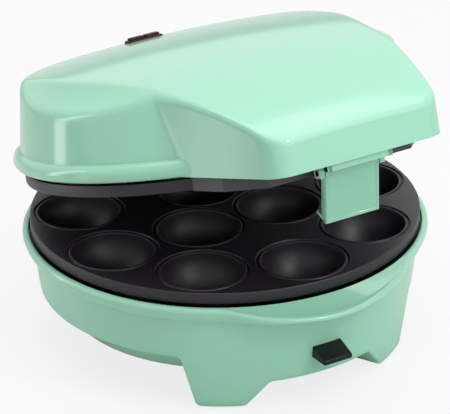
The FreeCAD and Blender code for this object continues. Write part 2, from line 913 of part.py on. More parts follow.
def shoulder_cut(inset):
    """The stepped shoulders beside the roof, in line with the hood's flanks."""
    turn = math.radians(hood_taper)
    flank = hood_half * math.cos(turn) + hood_reach * math.sin(turn) - shoulder_inset
    ahead = at_angle(shoulder_wedge(flank, inset), -hood_taper)
    return mirrored_pair(ahead) + mirrored_pair(shoulder_wedge(shoulder_half, inset))


def lid_block(inset, low):
    high = roof_z + hood_corner

    def radius_at(z):
        return lid_radius - inset - (z - flange_z) * slope(lid_draft)

    drum = turned([(0, low), (radius_at(low), low), (radius_at(high), high), (0, high)])
    block = drum.fuse(hood_block(inset, low, high))
    return block.common(roof_block(inset)).cut(shoulder_cut(inset))


def lid_bead():
    """The rounded bead round the lid's lower edge."""
    inner = lid_radius - lid_wall * 2
    start = lip_radius - lip_height / 2
    arc = Part.Arc(vec(start, 0, flange_z), vec(lip_radius, 0, flange_z + lip_height / 2),
                   vec(start, 0, flange_z + lip_height)).toShape()
    corners = [vec(start, 0, flange_z + lip_height), vec(inner, 0, flange_z + lip_height),
               vec(inner, 0, flange_z), vec(start, 0, flange_z)]
    edges = [arc] + [Part.makeLine(a, b) for a, b in zip(corners, corners[1:])]
    return Part.Face(Part.Wire(edges)).revolve(vec(0, 0, 0), vec(0, 0, 1), 360)


def lid_knuckle():
    """The lid's hinge barrel and the web that carries it."""
    half = lid_knuckle_half
    root = lid_radius - 2 * lid_wall
    across = hinge_radius / 2
    along = math.sqrt(hinge_radius ** 2 - across ** 2) - side_clearance
    outline = [(root, flange_z), (hinge_back - across, hinge_z - along),
               (hinge_back + across, hinge_z + along), (root, flange_z + 2 * lip_height)]
    web = side_prism(outline, -half, half)
    return web.fuse(rod(vec(-half, hinge_back, hinge_z), vec(half, hinge_back, hinge_z), hinge_radius))


def lamp_block(grow, low, high):
    half = lamp_length / 2 + grow
    wide = lamp_width / 2 + grow
    block = box((-half, lamp_back - wide, low), (half, lamp_back + wide, high))
    upright = [e for e in block.Edges if abs(e.tangentAt(e.FirstParameter).z) > 0.9]
    return block.makeFillet(wide * 0.6, upright)


def lid_shell():
    outside = lid_block(0, flange_z)
    outside = outside.fuse([lid_bead(), lid_knuckle()])
    ledge = 2 * closed_middle - pan_ledge
    seat = turned([(0, plate_height), (lip_inside, plate_height), (lip_inside, ledge), (0, ledge)])
    hollow = lid_block(lid_wall, flange_z - 1)
    far = 2 * lid_knuckle_half
    bore = rod(vec(-far, hinge_back, hinge_z), vec(far, hinge_back, hinge_z),
               hinge_pin_radius + running_clearance)
    lamp_hole = lamp_block(screw_clearance, flange_z + lip_height, 2 * roof_z)
    shell = outside.cut([seat, hollow, bore, lamp_hole])
    low = 2 * closed_middle - pan_floor
    posts = [rod(polar(post_ring, a, low), polar(post_ring, a, roof_z), post_radius) for a in post_angles()]
    low = flange_z + lining_lift + lining_skin
    posts += [rod(p + vec(0, 0, low), p + vec(0, 0, roof_z), post_radius) for p in lining_screw_places()]
    within = lid_block(lid_wall / 2, flange_z)
    shell = shell.fuse([post.common(within) for post in posts])
    hole = screw_radius + screw_clearance
    deep = vec(0, 0, screw_length)
    holes = [rod(polar(post_ring, a, low), polar(post_ring, a, 2 * closed_middle - pan_floor) + deep, hole)
             for a in post_angles()]
    holes += [rod(p + vec(0, 0, low - 1), p + vec(0, 0, low) + deep, hole) for p in lining_screw_places()]
    return shell.cut(holes).removeSplitter()


def lining_screw_places():
    return [vec(side * lining_screw_half, -lining_screw_reach, 0) for side in (-1, 1)]


def lining_screws():
    low = flange_z + lining_lift
    return Part.makeCompound([screw(p + vec(0, 0, low), screw_length) for p in lining_screw_places()])


def hood_lining():
    """The dark lining under the hood, with the chin in front of the plate."""
    low = flange_z + lining_lift
    fit = lid_wall + side_clearance / 2
    skin = hood_block(fit, low, low + lining_skin)
    clear = Part.makeCylinder(lip_inside + lid_wall, 4 * plate_drop, vec(0, 0, flange_z - 2 * plate_drop))
    chin = plan_prism([(-chin_half, -chin_reach), (chin_half, -chin_reach),
                       (chin_side_half, -chin_side_reach), (chin_side_half, 0),
                       (-chin_side_half, 0), (-chin_side_half, -chin_side_reach)],
                      flange_z - plate_drop, low + lining_skin)
    inside = hood_block(fit, flange_z - 2 * plate_drop, low + lining_skin)
    ring = Part.makeCylinder(lip_inside, 4 * plate_drop, vec(0, 0, flange_z - 2 * plate_drop))
    chin = chin.common(inside).cut(ring)
    under = vec(0, 0, flange_z - side_clearance / 2)
    lip_room = Part.makeCylinder(lip_radius + side_clearance, 4 * plate_drop, under)
    lining = skin.cut(clear).fuse(chin.cut(lip_room))
    hole = screw_radius + screw_clearance
    holes = [rod(p + vec(0, 0, low - 1), p + vec(0, 0, low + 2 * lining_skin), hole)
             for p in lining_screw_places()]
    return lining.cut(holes)


def upper_heat_pan():
    return turned_over(pan([catch_hook(*place) for place in catch_places()]))


def latch_pivot():
    return vec(0, -latch_pivot_reach, flange_z - latch_pivot_drop)


def latch_bracket():
    """The rail and two cheeks under the hood that carry the latch pin."""
    half = latch_width / 2 + side_clearance
    outer = half + bracket_cheek
    top = flange_z + lining_lift
    pivot = latch_pivot()
    low = flange_z - bracket_drop
    back = latch_pivot_reach - latch_barrel
    front = latch_pivot_reach + latch_barrel
    under = flange_z - bracket_lip
    arm = box((half, -bracket_rail_reach, under), (outer, -back, top))
    cheek = box((half, -front, low), (outer, -back, top))
    rail = box((-outer, -bracket_rail_reach, under), (outer, -bracket_rail_reach + bracket_rail, top))
    body = rail.fuse(mirrored_pair(arm) + mirrored_pair(cheek))
    return body.cut(rod(vec(-outer - 1, pivot.y, pivot.z), vec(outer + 1, pivot.y, pivot.z),
                        latch_pin_radius + running_clearance))


def latch_pin():
    half = latch_width / 2 + side_clearance + bracket_cheek
    pivot = latch_pivot()
    return rod(vec(-half, pivot.y, pivot.z), vec(half, pivot.y, pivot.z), latch_pin_radius)


def lid_latch():
    """The hanging latch: a barrel, a front plate with side flanges and a hook."""
    pivot = latch_pivot()
    half = latch_width / 2
    barrel = rod(vec(-half, pivot.y, pivot.z), vec(half, pivot.y, pivot.z), latch_barrel)
    front = pivot.y - latch_barrel
    inner = front + latch_skin
    low = pivot.z - latch_length
    plate = box((-half, front, low), (half, inner, pivot.z))
    tip = inner + latch_hook
    rise = low + latch_hook_rise
    hook = side_prism([(front, low), (tip, rise), (tip, rise + latch_hook_skin),
                       (front, low + latch_hook_skin)], -half, half)
    flanges = []
    for left in (-half, half - latch_skin):
        flanges.append(box((left, front, rise), (left + latch_skin, inner + latch_flange, pivot.z)))
    body = plate.fuse([barrel, hook] + flanges)
    return body.cut(rod(vec(-half - 1, pivot.y, pivot.z), vec(half + 1, pivot.y, pivot.z),
                        latch_pin_radius + running_clearance))


def lamp_bezel():
    """The rim that frames the two indicator lenses on the roof."""
    low = lamp_top - lamp_sink
    outer = lamp_block(0, low, lamp_top + lamp_proud / 2)
    inner = lamp_block(-lamp_rim, low - 1, roof_z + lamp_proud)
    return outer.cut(inner)


def lamp_lens(side):
    """One of the two lenses side by side in the bezel."""
    low = lamp_top - lamp_sink
    whole = lamp_block(-lamp_rim - running_clearance, low, lamp_top + lamp_proud)
    middle = running_clearance
    left, right = (-lamp_length, -middle) if side < 0 else (middle, lamp_length)
    half = box((left, 0, low), (right, 2 * lamp_back, 2 * roof_z))
    return whole.common(half)


def neon_places():
    return [vec(side * lamp_length / 4, lamp_back, lamp_top - lamp_sink) for side in (-1, 1)]


def neon_lamps():
    """The two small glow lamps under the lenses."""
    drop = vec(0, 0, neon_length)
    return Part.makeCompound([rod(p - drop, p - vec(0, 0, catch_gap), neon_radius) for p in neon_places()])


def lamp_holder():
    """A cup hung under the roof that holds the glow lamps and the bezel."""
    low = lamp_top - lamp_sink - holder_skin
    cup = lamp_block(holder_skin, low, roof_z)
    cup = cup.common(lid_block(lid_wall + running_clearance, flange_z))
    cup = cup.cut(lamp_block(running_clearance, low + holder_skin, 2 * roof_z))
    drop = vec(0, 0, neon_length)
    return cup.cut([rod(p - drop, p, neon_radius + running_clearance) for p in neon_places()])


def lid_turn(shape):
    """Lift a lid piece from closed to the ajar pose."""
    return shape.rotated(vec(0, hinge_back, hinge_z), vec(-1, 0, 0), ajar_angle)


def latch_turn(shape):
    """Let the latch hang straight down under the ajar lid."""
    return lid_turn(shape.rotated(latch_pivot(), vec(-1, 0, 0), -ajar_angle))


base_pieces = {
    "base_shell": base_shell(),
    "bottom_cover": bottom_cover(),
    "foot_pads": foot_pads(),
    "cover_screws": cover_screws(),
    "lower_heat_pan": lower_heat_pan(),
    "lower_pan_screws": pan_screws(),
    "lower_heating_element": heating_element(),
    "lower_element_clips": element_clips(),
    "lower_baking_plate": lower_baking_plate(),
    "release_button": release_button(),
    "release_spring": release_spring(),
    "spring_post": spring_post(),
    "thermostat": thermostat(),
    "lower_thermal_fuse": thermal_fuse(),
    "terminal_block": terminal_block(),
    "base_wiring": base_wiring(),
    "cord_gland": cord_gland(),
    "hinge_pin": hinge_pin(),
}
lid_pieces = {
    "lid_shell": lid_shell(),
    "hood_lining": hood_lining(),
    "lining_screws": lining_screws(),
    "upper_heat_pan": upper_heat_pan(),
    "upper_pan_screws": turned_over(pan_screws()),
    "upper_heating_element": turned_over(heating_element()),
    "upper_element_clips": turned_over(element_clips()),
    "upper_baking_plate": upper_baking_plate(),
    "upper_thermal_fuse": turned_over(thermal_fuse()),
    "latch_bracket": latch_bracket(),
    "latch_pin": latch_pin(),
    "lamp_bezel": lamp_bezel(),
    "power_lens": lamp_lens(1),
    "ready_lens": lamp_lens(-1),
    "lamp_holder": lamp_holder(),
    "neon_lamps": neon_lamps(),
    "lid_wiring": lid_wiring(),
}
pieces = dict(base_pieces)
pieces.update({name: lid_turn(shape) for name, shape in lid_pieces.items()})
pieces["lid_latch"] = latch_turn(lid_latch())

# the frame's origin is the middle of the whole object's footprint
extents = [shape.optimalBoundingBox(False, False) for shape in pieces.values()]
front_end = min(extent.YMin for extent in extents)
back_end = max(extent.YMax for extent in extents)
to_origin = vec(0, -(front_end + back_end) / 2, 0)
print("bowl axis y", round(to_origin.y, 3), "hinge", round(hinge_back + to_origin.y, 3), round(hinge_z, 3))
pivot = latch_turn(Part.Vertex(latch_pivot())).Point + to_origin
print("latch pivot", round(pivot.y, 3), round(pivot.z, 3))

for name, shape in pieces.items():
    print(name, len(shape.Solids), round(shape.Volume), shape.isValid())
    shape.translated(to_origin).exportStep("parts/" + name + ".step")
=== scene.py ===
import bpy
import bmesh
import numpy as np
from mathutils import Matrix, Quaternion, Vector


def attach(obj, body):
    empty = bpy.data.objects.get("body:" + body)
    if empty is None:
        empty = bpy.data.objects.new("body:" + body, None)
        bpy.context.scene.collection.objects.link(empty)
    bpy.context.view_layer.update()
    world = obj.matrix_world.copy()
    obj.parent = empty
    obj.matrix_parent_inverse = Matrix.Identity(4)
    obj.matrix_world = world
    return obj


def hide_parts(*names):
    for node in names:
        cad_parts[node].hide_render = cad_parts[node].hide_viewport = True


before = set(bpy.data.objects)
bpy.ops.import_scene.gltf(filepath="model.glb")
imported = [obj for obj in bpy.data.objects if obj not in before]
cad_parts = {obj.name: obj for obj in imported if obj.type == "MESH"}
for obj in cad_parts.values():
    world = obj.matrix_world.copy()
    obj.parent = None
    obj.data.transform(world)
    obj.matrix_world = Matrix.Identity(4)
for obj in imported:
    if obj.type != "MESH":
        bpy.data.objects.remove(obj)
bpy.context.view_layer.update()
print("frame loaded:", len(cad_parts), "nodes")

# places in millimetres: x, y and z with the bowl's axis at x = y = 0, front towards -y
layout = dict(
    bowlBack=5.620572,                # the bowl's axis lies this far behind the frame's origin
    hingeBack=110.495, hingeHeight=70.2,
    flange=74.7,                      # the closed lid's lower edge
    closedMiddle=67.2,                # half way between the closed plates
    ajar=np.radians(15.9),
)
meshing = dict(weld=2e-6, sharp=np.radians(32), bevelRows=4)   # weld in metres


def toFrame(points):                  # millimetres about the bowl's axis -> metres in the frame
    return (np.asarray(points, float) + (0, layout["bowlBack"], 0)) * 0.001


def lifted(points):                   # closed lid -> ajar lid: a turn about the hinge line
    p = np.array(points, float)
    dy = p[:, 1] - layout["hingeBack"]
    dz = p[:, 2] - layout["hingeHeight"]
    c, s = np.cos(layout["ajar"]), np.sin(layout["ajar"])
    p[:, 1] = layout["hingeBack"] + dy * c + dz * s
    p[:, 2] = layout["hingeHeight"] - dy * s + dz * c
    return p


def softMax(a, b, k):                 # the larger of two heights, with a rounded meeting of width k
    return (a + b + np.sqrt((a - b) ** 2 + k * k)) / 2


def signedAngle(angle):               # 0 to a full turn -> minus half to plus half a turn
    return np.where(angle > np.pi, angle - 2 * np.pi, angle)


def gridFaces(rows, cols, wrap=True):
    # quads of a grid of rows by columns; wrap closes the columns into a loop
    r = np.arange(rows - 1)[:, None]
    c = np.arange(cols if wrap else cols - 1)[None, :]
    n = (c + 1) % cols
    corners = [r * cols + c, r * cols + n, (r + 1) * cols + n, (r + 1) * cols + c]
    return np.stack(corners, axis=-1).reshape(-1, 4).tolist()


def ringGrid(points):                 # rows x cols x 3 array -> a surface with closed columns
    return points.reshape(-1, 3), gridFaces(points.shape[0], points.shape[1])


def turnedGrid(profile, count):       # (radius, height) profile swept round the bowl's axis
    profile = np.asarray(profile, float)
    a = np.linspace(0, 2 * np.pi, count, endpoint=False)
    x = profile[:, :1] * np.sin(a)
    y = -profile[:, :1] * np.cos(a)
    z = np.repeat(profile[:, 1:], count, axis=1)
    return ringGrid(np.stack([x, y, z], axis=-1))


def filletOutline(corners, radii, closed=True, steps=6):
    # corner points -> an outline in which each corner is a parabola as long as its radius asks,
    # and never longer than just under half an edge
    corners = np.asarray(corners, float)
    out = []
    last = len(corners)
    for i in range(last):
        here = corners[i]
        if not closed and i in (0, last - 1) or radii[i] <= 0:
            out.append(here[None])
            continue
        a = corners[i - 1] - here
        b = corners[(i + 1) % last] - here
        la, lb = np.linalg.norm(a), np.linalg.norm(b)
        a, b = a / la, b / lb
        half = np.arccos(np.clip(a @ b, -1, 1)) / 2
        reach = min(radii[i] / np.tan(half), 0.48 * la, 0.48 * lb)
        t = np.linspace(0, 1, steps)[:, None]
        start, end = here + a * reach, here + b * reach
        out.append((1 - t) ** 2 * start + 2 * t * (1 - t) * here + t ** 2 * end)
    return np.concatenate(out)


def insetOutline(outline, d):         # each point moved inwards along the mean of its two edge normals
    after = np.roll(outline, -1, axis=0)
    edge = after - outline
    edge /= np.maximum(np.linalg.norm(edge, axis=1, keepdims=True), 1e-9)
    normal = np.stack([edge[:, 1], -edge[:, 0]], axis=1)
    mean = normal + np.roll(normal, 1, axis=0)
    mean /= np.maximum((mean * mean).sum(axis=1, keepdims=True) / 2, 0.3)   # keeps sharp corners in
    area = (outline[:, 0] * after[:, 1] - outline[:, 1] * after[:, 0]).sum()
    return outline - np.sign(area) * mean * d


def prism(outline, low, high, bevel, axis):
    # a flat outline carried straight along one axis, both ends rounded over by a quarter circle
    turn = np.linspace(0, np.pi / 2, meshing["bevelRows"])
    inset = bevel * (1 - np.sin(turn))
    lift = bevel * (1 - np.cos(turn))
    insets = np.concatenate([inset, inset[::-1]])
    levels = np.concatenate([low + lift, high - lift[::-1]])
    layers = [np.insert(insetOutline(outline, i), axis, level, axis=1)
              for i, level in zip(insets, levels)]
    rows, count = len(layers), len(outline)
    ends = [list(range(count)), list(range((rows - 1) * count, rows * count))]
    return np.concatenate(layers), gridFaces(rows, count) + ends


def makePiece(name, parts, material, body, nodes, slot):
    # joins surfaces into one object at the origin, closes its seams and turns its faces outwards
    points, faces, start = [], [], 0
    for p, f in parts:
        points.append(p)
        faces += [[i + start for i in face] for face in f]
        start += len(p)
    mesh = bpy.data.meshes.new(name)
    mesh.from_pydata(toFrame(np.concatenate(points)).tolist(), [], faces)
    bm = bmesh.new()
    bm.from_mesh(mesh)
    bmesh.ops.remove_doubles(bm, verts=bm.verts, dist=meshing["weld"])
    bmesh.ops.recalc_face_normals(bm, faces=bm.faces)
    bm.to_mesh(mesh)
    bm.free()
    mesh.shade_smooth()
    mesh.set_sharp_from_angle(angle=meshing["sharp"])
    mesh.materials.append(material)
    piece = bpy.data.objects.new(name, mesh)
    bpy.context.scene.collection.objects.link(piece)
    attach(piece, body)
    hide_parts(*nodes)


# materials; broad is the size in mm of the slow drift of colour, relief the bump's depth in metres
surface = dict(broad=45.0, broadDetail=2.0, fineDetail=3.0, fineRough=0.6, rampLow=0.3, rampHigh=0.7,
               leastRough=0.02, relief=0.00005)


def linear(hexColour):                # sRGB hex -> linear colour for a socket, by the sRGB curve
    c = np.array([int(hexColour[i:i + 2], 16) for i in (1, 3, 5)]) / 255
    c = np.where(c <= 0.04045, c / 12.92, ((c + 0.055) / 1.055) ** 2.4)
    return (*c.tolist(), 1.0)


def emptyTree(owner):                 # a material's or world's node tree with nothing in it
    owner.use_nodes = True
    owner.node_tree.nodes.clear()
    return owner.node_tree


def addNode(tree, kind, settings=None, feeds=(), **links):
    # one node with its inputs and properties set; feeds go to its inputs in order, links by name
    node = tree.nodes.new(kind)
    for key, value in (settings or {}).items():
        if key in node.inputs:
            node.inputs[key].default_value = value
        else:
            setattr(node, key, value)
    for i, source in enumerate(feeds):
        tree.links.new(source, node.inputs[i])
    for key, source in links.items():
        tree.links.new(source, node.inputs[key.replace("_", " ")])
    return node


def makeMaterial(name, colour, rough, metal=0.0, ior=1.5, grain=1.0, mottle=0.04,
                 roughSpread=0.05, bump=0.05, extra=None):
    # grain is the surface's grain in mm, drawn coarser than the real one so that it shows;
    # mottle and roughSpread are how far colour and gloss vary about their middle
    material = bpy.data.materials.new(name)
    tree = emptyTree(material)
    place = addNode(tree, "ShaderNodeTexCoord").outputs["Object"]
    fine = addNode(tree, "ShaderNodeTexNoise", {
        "Scale": 1000.0 / grain, "Detail": surface["fineDetail"], "Roughness": surface["fineRough"]},
        Vector=place).outputs["Fac"]
    broad = addNode(tree, "ShaderNodeTexNoise", {
        "Scale": 1000.0 / surface["broad"], "Detail": surface["broadDetail"]}, Vector=place)
    base = linear(colour)
    ramp = addNode(tree, "ShaderNodeValToRGB", Fac=broad.outputs["Fac"])
    dark, light = ramp.color_ramp.elements
    dark.position, light.position = surface["rampLow"], surface["rampHigh"]
    dark.color = (*[c * (1 - mottle) for c in base[:3]], 1)
    light.color = (*[min(1, c * (1 + mottle)) for c in base[:3]], 1)
    gloss = addNode(tree, "ShaderNodeMapRange", {
        "To Min": max(surface["leastRough"], rough - roughSpread), "To Max": rough + roughSpread},
        Value=fine)
    relief = addNode(tree, "ShaderNodeBump", {"Strength": bump, "Distance": surface["relief"]},
                     Height=fine)
    shader = addNode(tree, "ShaderNodeBsdfPrincipled", {"Metallic": metal},
                     Base_Color=ramp.outputs["Color"], Roughness=gloss.outputs["Result"],
                     Normal=relief.outputs["Normal"])
    if metal < 0.5:                   # a metal keeps the default
        shader.inputs["IOR"].default_value = ior
    for key, value in (extra or {}).items():
        shader.inputs[key].default_value = value
    addNode(tree, "ShaderNodeOutputMaterial", Surface=shader.outputs["BSDF"])
    return material


# polished injection-moulded ABS: even mint, mirror gloss with a trace of flow
mintAbs = makeMaterial("mintAbsPolished", "#96CEB4", 0.13, ior=1.52, grain=2.5, mottle=0.012,
                       roughSpread=0.02, bump=0.02)
# the same ABS, a little darker and duller
mintAbsDarkDull = makeMaterial("mintAbsSatin", "#86BEA5", 0.24, ior=1.52, grain=1.5, mottle=0.012,
                            roughSpread=0.04, bump=0.03)
# sprayed fluoropolymer on cast aluminium: near black, fine speckle, dull sheen
nonStick = makeMaterial("nonStickCoating", "#1F1A20", 0.42, ior=1.45, grain=0.8, mottle=0.08,
                        roughSpread=0.1, bump=0.25)
# glass-filled nylon: charcoal, matt, fine grain
charcoalNylon = makeMaterial("charcoalNylon", "#3A3739", 0.5, ior=1.53, grain=0.9, mottle=0.05,
                             roughSpread=0.08, bump=0.2)
# moulded black ABS of the push button: deep, with a soft gloss
blackAbs = makeMaterial("blackAbs", "#111011", 0.38, ior=1.53, grain=1.2, mottle=0.05,
                        roughSpread=0.04, bump=0.04, extra={"Specular IOR Level": 0.25})
# tinted polycarbonate lenses, unlit: deep colour, soft gloss
redLens = makeMaterial("redPolycarbonate", "#3E0A0F", 0.3, ior=1.58, grain=2.0, mottle=0.05,
                       roughSpread=0.03, bump=0.02, extra={"Specular IOR Level": 0.08})
greenLens = makeMaterial("greenPolycarbonate", "#101812", 0.3, ior=1.58, grain=2.0, mottle=0.05,
                         roughSpread=0.03, bump=0.02, extra={"Specular IOR Level": 0.08})
# moulded ABS of the lamp's rim: dark wine red, soft gloss
bezelAbs = makeMaterial("bezelAbs", "#38101A", 0.35, ior=1.53, grain=1.2, mottle=0.04,
                        roughSpread=0.04, bump=0.04, extra={"Specular IOR Level": 0.1})
# aluminised sheet steel: pale, faintly spangled
panSteel = makeMaterial("aluminisedSteel", "#B9BABC", 0.35, metal=1.0, grain=1.4, mottle=0.06,
                        roughSpread=0.1, bump=0.1)
# heat-blackened sheet steel of the two pans: dark grey, dull; the dark grey is also painted shade in the
# narrow gaps at the plates' edges
burntSteelAndShade = makeMaterial("burntSteelAndShade", "#3C3A3A", 0.5, metal=1.0, grain=1.4, mottle=0.1,
                          roughSpread=0.1, bump=0.15)
# oxidised heater sheath: brown-grey, dull
heaterSteel = makeMaterial("heaterSheath", "#6A6460", 0.45, metal=1.0, grain=0.8, mottle=0.12,
                           roughSpread=0.1, bump=0.2)
# bright zinc-plated steel of screws and pins
zincSteel = makeMaterial("zincPlatedSteel", "#C4C5C8", 0.25, metal=1.0, grain=0.7, mottle=0.05,
                         roughSpread=0.06, bump=0.1)
# plated brass of the thermal fuses: warm yellow, bright
platedBrass = makeMaterial("platedBrass", "#C9AF72", 0.3, metal=1.0, grain=0.7, mottle=0.05,
                           roughSpread=0.06, bump=0.1)
# nitrile rubber: black, matt, fine pits
blackRubber = makeMaterial("nitrileRubber", "#232324", 0.7, ior=1.52, grain=0.6, mottle=0.06,
                           roughSpread=0.08, bump=0.3)
# thermoplastic rubber of the foot pads: pale green, matt
paleRubber = makeMaterial("paleRubber", "#86B5A0", 0.6, ior=1.5, grain=0.6, mottle=0.04,
                          roughSpread=0.08, bump=0.2)
# natural polyamide of the terminal strip and lamp holder: ivory, dull
naturalNylon = makeMaterial("naturalNylon", "#D8D4C8", 0.45, ior=1.53, grain=1.0, mottle=0.03,
                            roughSpread=0.06, bump=0.1)
# woven glass-fibre sleeve on the leads: off-white, rough
glassSleeve = makeMaterial("glassFibreSleeve", "#CFCBBF", 0.75, ior=1.5, grain=0.5, mottle=0.08,
                           roughSpread=0.08, bump=0.5)
# blown glass of the neon lamps: clear, faintly orange
lampGlass = makeMaterial("lampGlass", "#F0D2BE", 0.08, ior=1.5, grain=3.0, mottle=0.02,
                         roughSpread=0.02, bump=0.02, extra={"Transmission Weight": 0.7})
print("materials made")

# lid: roof height over x and f (f counts forwards from the axis), walls and bead as radius over height
lid = dict(
    wallRadius=99.795, draft=np.tan(np.radians(9.6)), wall=2.5, seat=98.795, seatHeight=4.7,
    beadOut=102.495, beadHeight=9.0, beadLow=0.12, beadBlend=0.8,
    roofHeight=48.68, backArc=457.0, apexBack=0.5, noseStart=52.0, noseArc=250.0, crown=840.0,
    shoulderInset=4.0, shoulderHalf=79.5, shoulderHeight=39.6, shoulderSlope=np.tan(np.radians(21.8)),
    shoulderBlend=3.0, stepRound=0.8, cove=5.5, creaseRound=1.1,
    hoodReach=138.495, hoodHalf=46.5, hoodTaper=np.radians(15.3), hoodCorner=12.5,
    hoodEnd=np.radians(80), notchRound=1.0,
    edgeRound=3.6, edgeGuess=38.0, edgeRepeats=24,
    roofRows=90, edgeRows=9, wallRows=9, beadRows=12, innerRows=20,
    columnMarks=(0.0, 14.5, 25.0, 38.0, 47.0, 62.0, 180.0), columnCounts=(14, 30, 26, 34, 20, 84),
)


def roofOver(x, f):
    # two tangent arcs front to back and a wide arc across; outside the crease the roof falls by a cove,
    # an exponential curve, onto a flat slope
    lean = np.arcsin((lid["noseStart"] + lid["apexBack"]) / lid["backArc"])
    back = lid["roofHeight"] - lid["backArc"] + np.sqrt(lid["backArc"] ** 2 - (f + lid["apexBack"]) ** 2)
    gap = lid["backArc"] - lid["noseArc"]
    noseF = -lid["apexBack"] + gap * np.sin(lean)
    noseN = lid["roofHeight"] - lid["backArc"] + gap * np.cos(lean)
    nose = noseN + np.sqrt(np.maximum(lid["noseArc"] ** 2 - (f - noseF) ** 2, 1.0))
    top = np.where(f > lid["noseStart"], nose, back) - x * x / (2 * lid["crown"])
    turn = lid["hoodTaper"]
    flank = lid["hoodHalf"] * np.cos(turn) + lid["hoodReach"] * np.sin(turn) - lid["shoulderInset"]
    ahead = np.abs(x) * np.cos(turn) + f * np.sin(turn) - flank
    out = softMax(ahead, np.abs(x) - lid["shoulderHalf"], lid["shoulderBlend"])
    slope = lid["shoulderHeight"] - np.maximum(out, 0) * lid["shoulderSlope"]
    step = softMax(top - slope, np.zeros_like(top), lid["stepRound"])
    beyond = softMax(out, np.zeros_like(out), lid["creaseRound"])
    return top - step * (1 - np.exp(-beyond / lid["cove"]))


def roofAt(angle, r):                 # the roof's height at a plan angle and radius
    return roofOver(r * np.sin(angle), r * np.cos(angle))


def hoodRadius(angle, inset):
    # distance from the axis to the hood's plan outline: a straight front, an arc, a tapered side
    a = np.abs(angle)
    taper = lid["hoodTaper"]
    reach = lid["hoodReach"] - inset
    side = (lid["hoodHalf"] + lid["hoodReach"] * np.tan(taper)) * np.cos(taper) - inset
    corner = lid["hoodCorner"] - inset
    front = reach / np.maximum(np.cos(a), 1e-3)
    flank = side / np.maximum(np.sin(a) * np.cos(taper) + np.cos(a) * np.sin(taper), 1e-3)
    cf = reach - corner
    cx = (side - corner - cf * np.sin(taper)) / np.cos(taper)
    along = cx * np.sin(a) + cf * np.cos(a)
    arc = along + np.sqrt(np.maximum(along ** 2 - (cx ** 2 + cf ** 2 - corner ** 2), 0))
    first = np.arctan2(cx, reach)
    second = np.arctan2(cx + corner * np.cos(taper), cf + corner * np.sin(taper))
    r = np.where(a < first, front, np.where(a < second, arc, flank))
    return np.where(a < lid["hoodEnd"], r, 0.0)


def lidAngles():                      # columns round the lid, closer at the hood's corners and notches
    marks = np.radians(lid["columnMarks"])
    half = np.concatenate([np.linspace(a, b, n, endpoint=False)
                           for a, b, n in zip(marks, marks[1:], lid["columnCounts"])])
    return np.concatenate([half, 2 * np.pi - np.append(half[1:], np.pi)[::-1]])


def lidWall(angle, n, inset):         # plan radius of the lid's wall at a height
    drum = lid["wallRadius"] - n * lid["draft"] - inset
    return softMax(drum, hoodRadius(signedAngle(angle), inset), lid["notchRound"])


def lidEdge(angle, inset):            # the height where wall and roof meet, by repeated substitution
    n = np.full_like(angle, lid["edgeGuess"])
    for i in range(lid["edgeRepeats"]):
        n = 0.5 * n + 0.5 * (roofAt(angle, lidWall(angle, n, inset)) - inset)
    return n


def lidSurface():
    # rings of one radius and height for each plan angle, from the roof's middle outwards: roof, rounded
    # edge (a parabola), drafted wall, half-round bead, then back up the inside to the roof's underside
    angle = lidAngles()
    half = lid["beadHeight"] / 2
    rows = []

    def put(r, n):                    # one ring at radius r and height n over the flange
        n = np.broadcast_to(n, angle.shape)
        rows.append(np.stack([r * np.sin(angle), -r * np.cos(angle), layout["flange"] + n], axis=-1))

    edgeN = lidEdge(angle, 0.0)
    edgeR = lidWall(angle, edgeN, 0.0)
    topR = edgeR - lid["edgeRound"]
    for t in np.linspace(0, 1, lid["roofRows"]):
        put(topR * t, roofAt(angle, topR * t))
    topN = roofAt(angle, topR)
    lowN = edgeN - lid["edgeRound"]
    lowR = lidWall(angle, lowN, 0.0)
    for t in np.linspace(0, 1, lid["edgeRows"])[1:]:
        a, b, c = (1 - t) ** 2, 2 * t * (1 - t), t * t
        put(a * topR + b * edgeR + c * lowR, a * topN + b * edgeN + c * lowN)
    for t in np.linspace(0, 1, lid["wallRows"])[1:]:
        n = lowN + (lid["beadHeight"] - lowN) * t
        put(lidWall(angle, n, 0.0), n)
    hood = hoodRadius(signedAngle(angle), 0.0)
    for t in np.linspace(0, np.pi, lid["beadRows"])[1:]:
        bead = lid["beadOut"] - half + half * np.sin(t)
        put(softMax(np.maximum(bead, lid["seat"]), hood, lid["beadBlend"]),
            np.maximum(half + half * np.cos(t), lid["beadLow"]))
    inner = np.maximum(lid["seat"], hoodRadius(signedAngle(angle), lid["wall"]))
    put(inner, lid["beadLow"])
    put(inner, lid["seatHeight"])
    inEdge = lidEdge(angle, lid["wall"])
    inR = lidWall(angle, inEdge, lid["wall"])
    put(lidWall(angle, lid["seatHeight"], lid["wall"]), lid["seatHeight"])
    put(inR, inEdge)
    for t in np.linspace(1, 0, lid["innerRows"])[1:]:
        put(inR * t, roofAt(angle, inR * t) - lid["wall"])
    return ringGrid(np.stack(rows))


def hingeBarrel(radius, first, last, count):   # (y, z) points on an arc round the hinge line
    turn = np.radians(np.linspace(first, last, count))
    return np.stack([layout["hingeBack"] + radius * np.cos(turn),
                     layout["hingeHeight"] + radius * np.sin(turn)], axis=1)


knuckle = dict(half=23.6, barrel=6.0, arc=(-125, 55, 22), bevel=0.8, rootRadius=96.0, rootLow=1.5,
               rootHigh=19.0)


def lidKnuckle():                     # the hinge barrel and its web, as one rounded outline along x
    root = np.array([[knuckle["rootRadius"], layout["flange"] + knuckle["rootHigh"]],
                     [knuckle["rootRadius"], layout["flange"] + knuckle["rootLow"]]])
    outline = np.concatenate([hingeBarrel(knuckle["barrel"], *knuckle["arc"]), root])
    return prism(outline, -knuckle["half"], knuckle["half"], knuckle["bevel"], 0)


lidParts = [(lifted(p), f) for p, f in (lidSurface(), lidKnuckle())]
makePiece("lidShell", lidParts, mintAbs, "lid", ["lid_shell"], "mint_shell")
print("lid shell made")

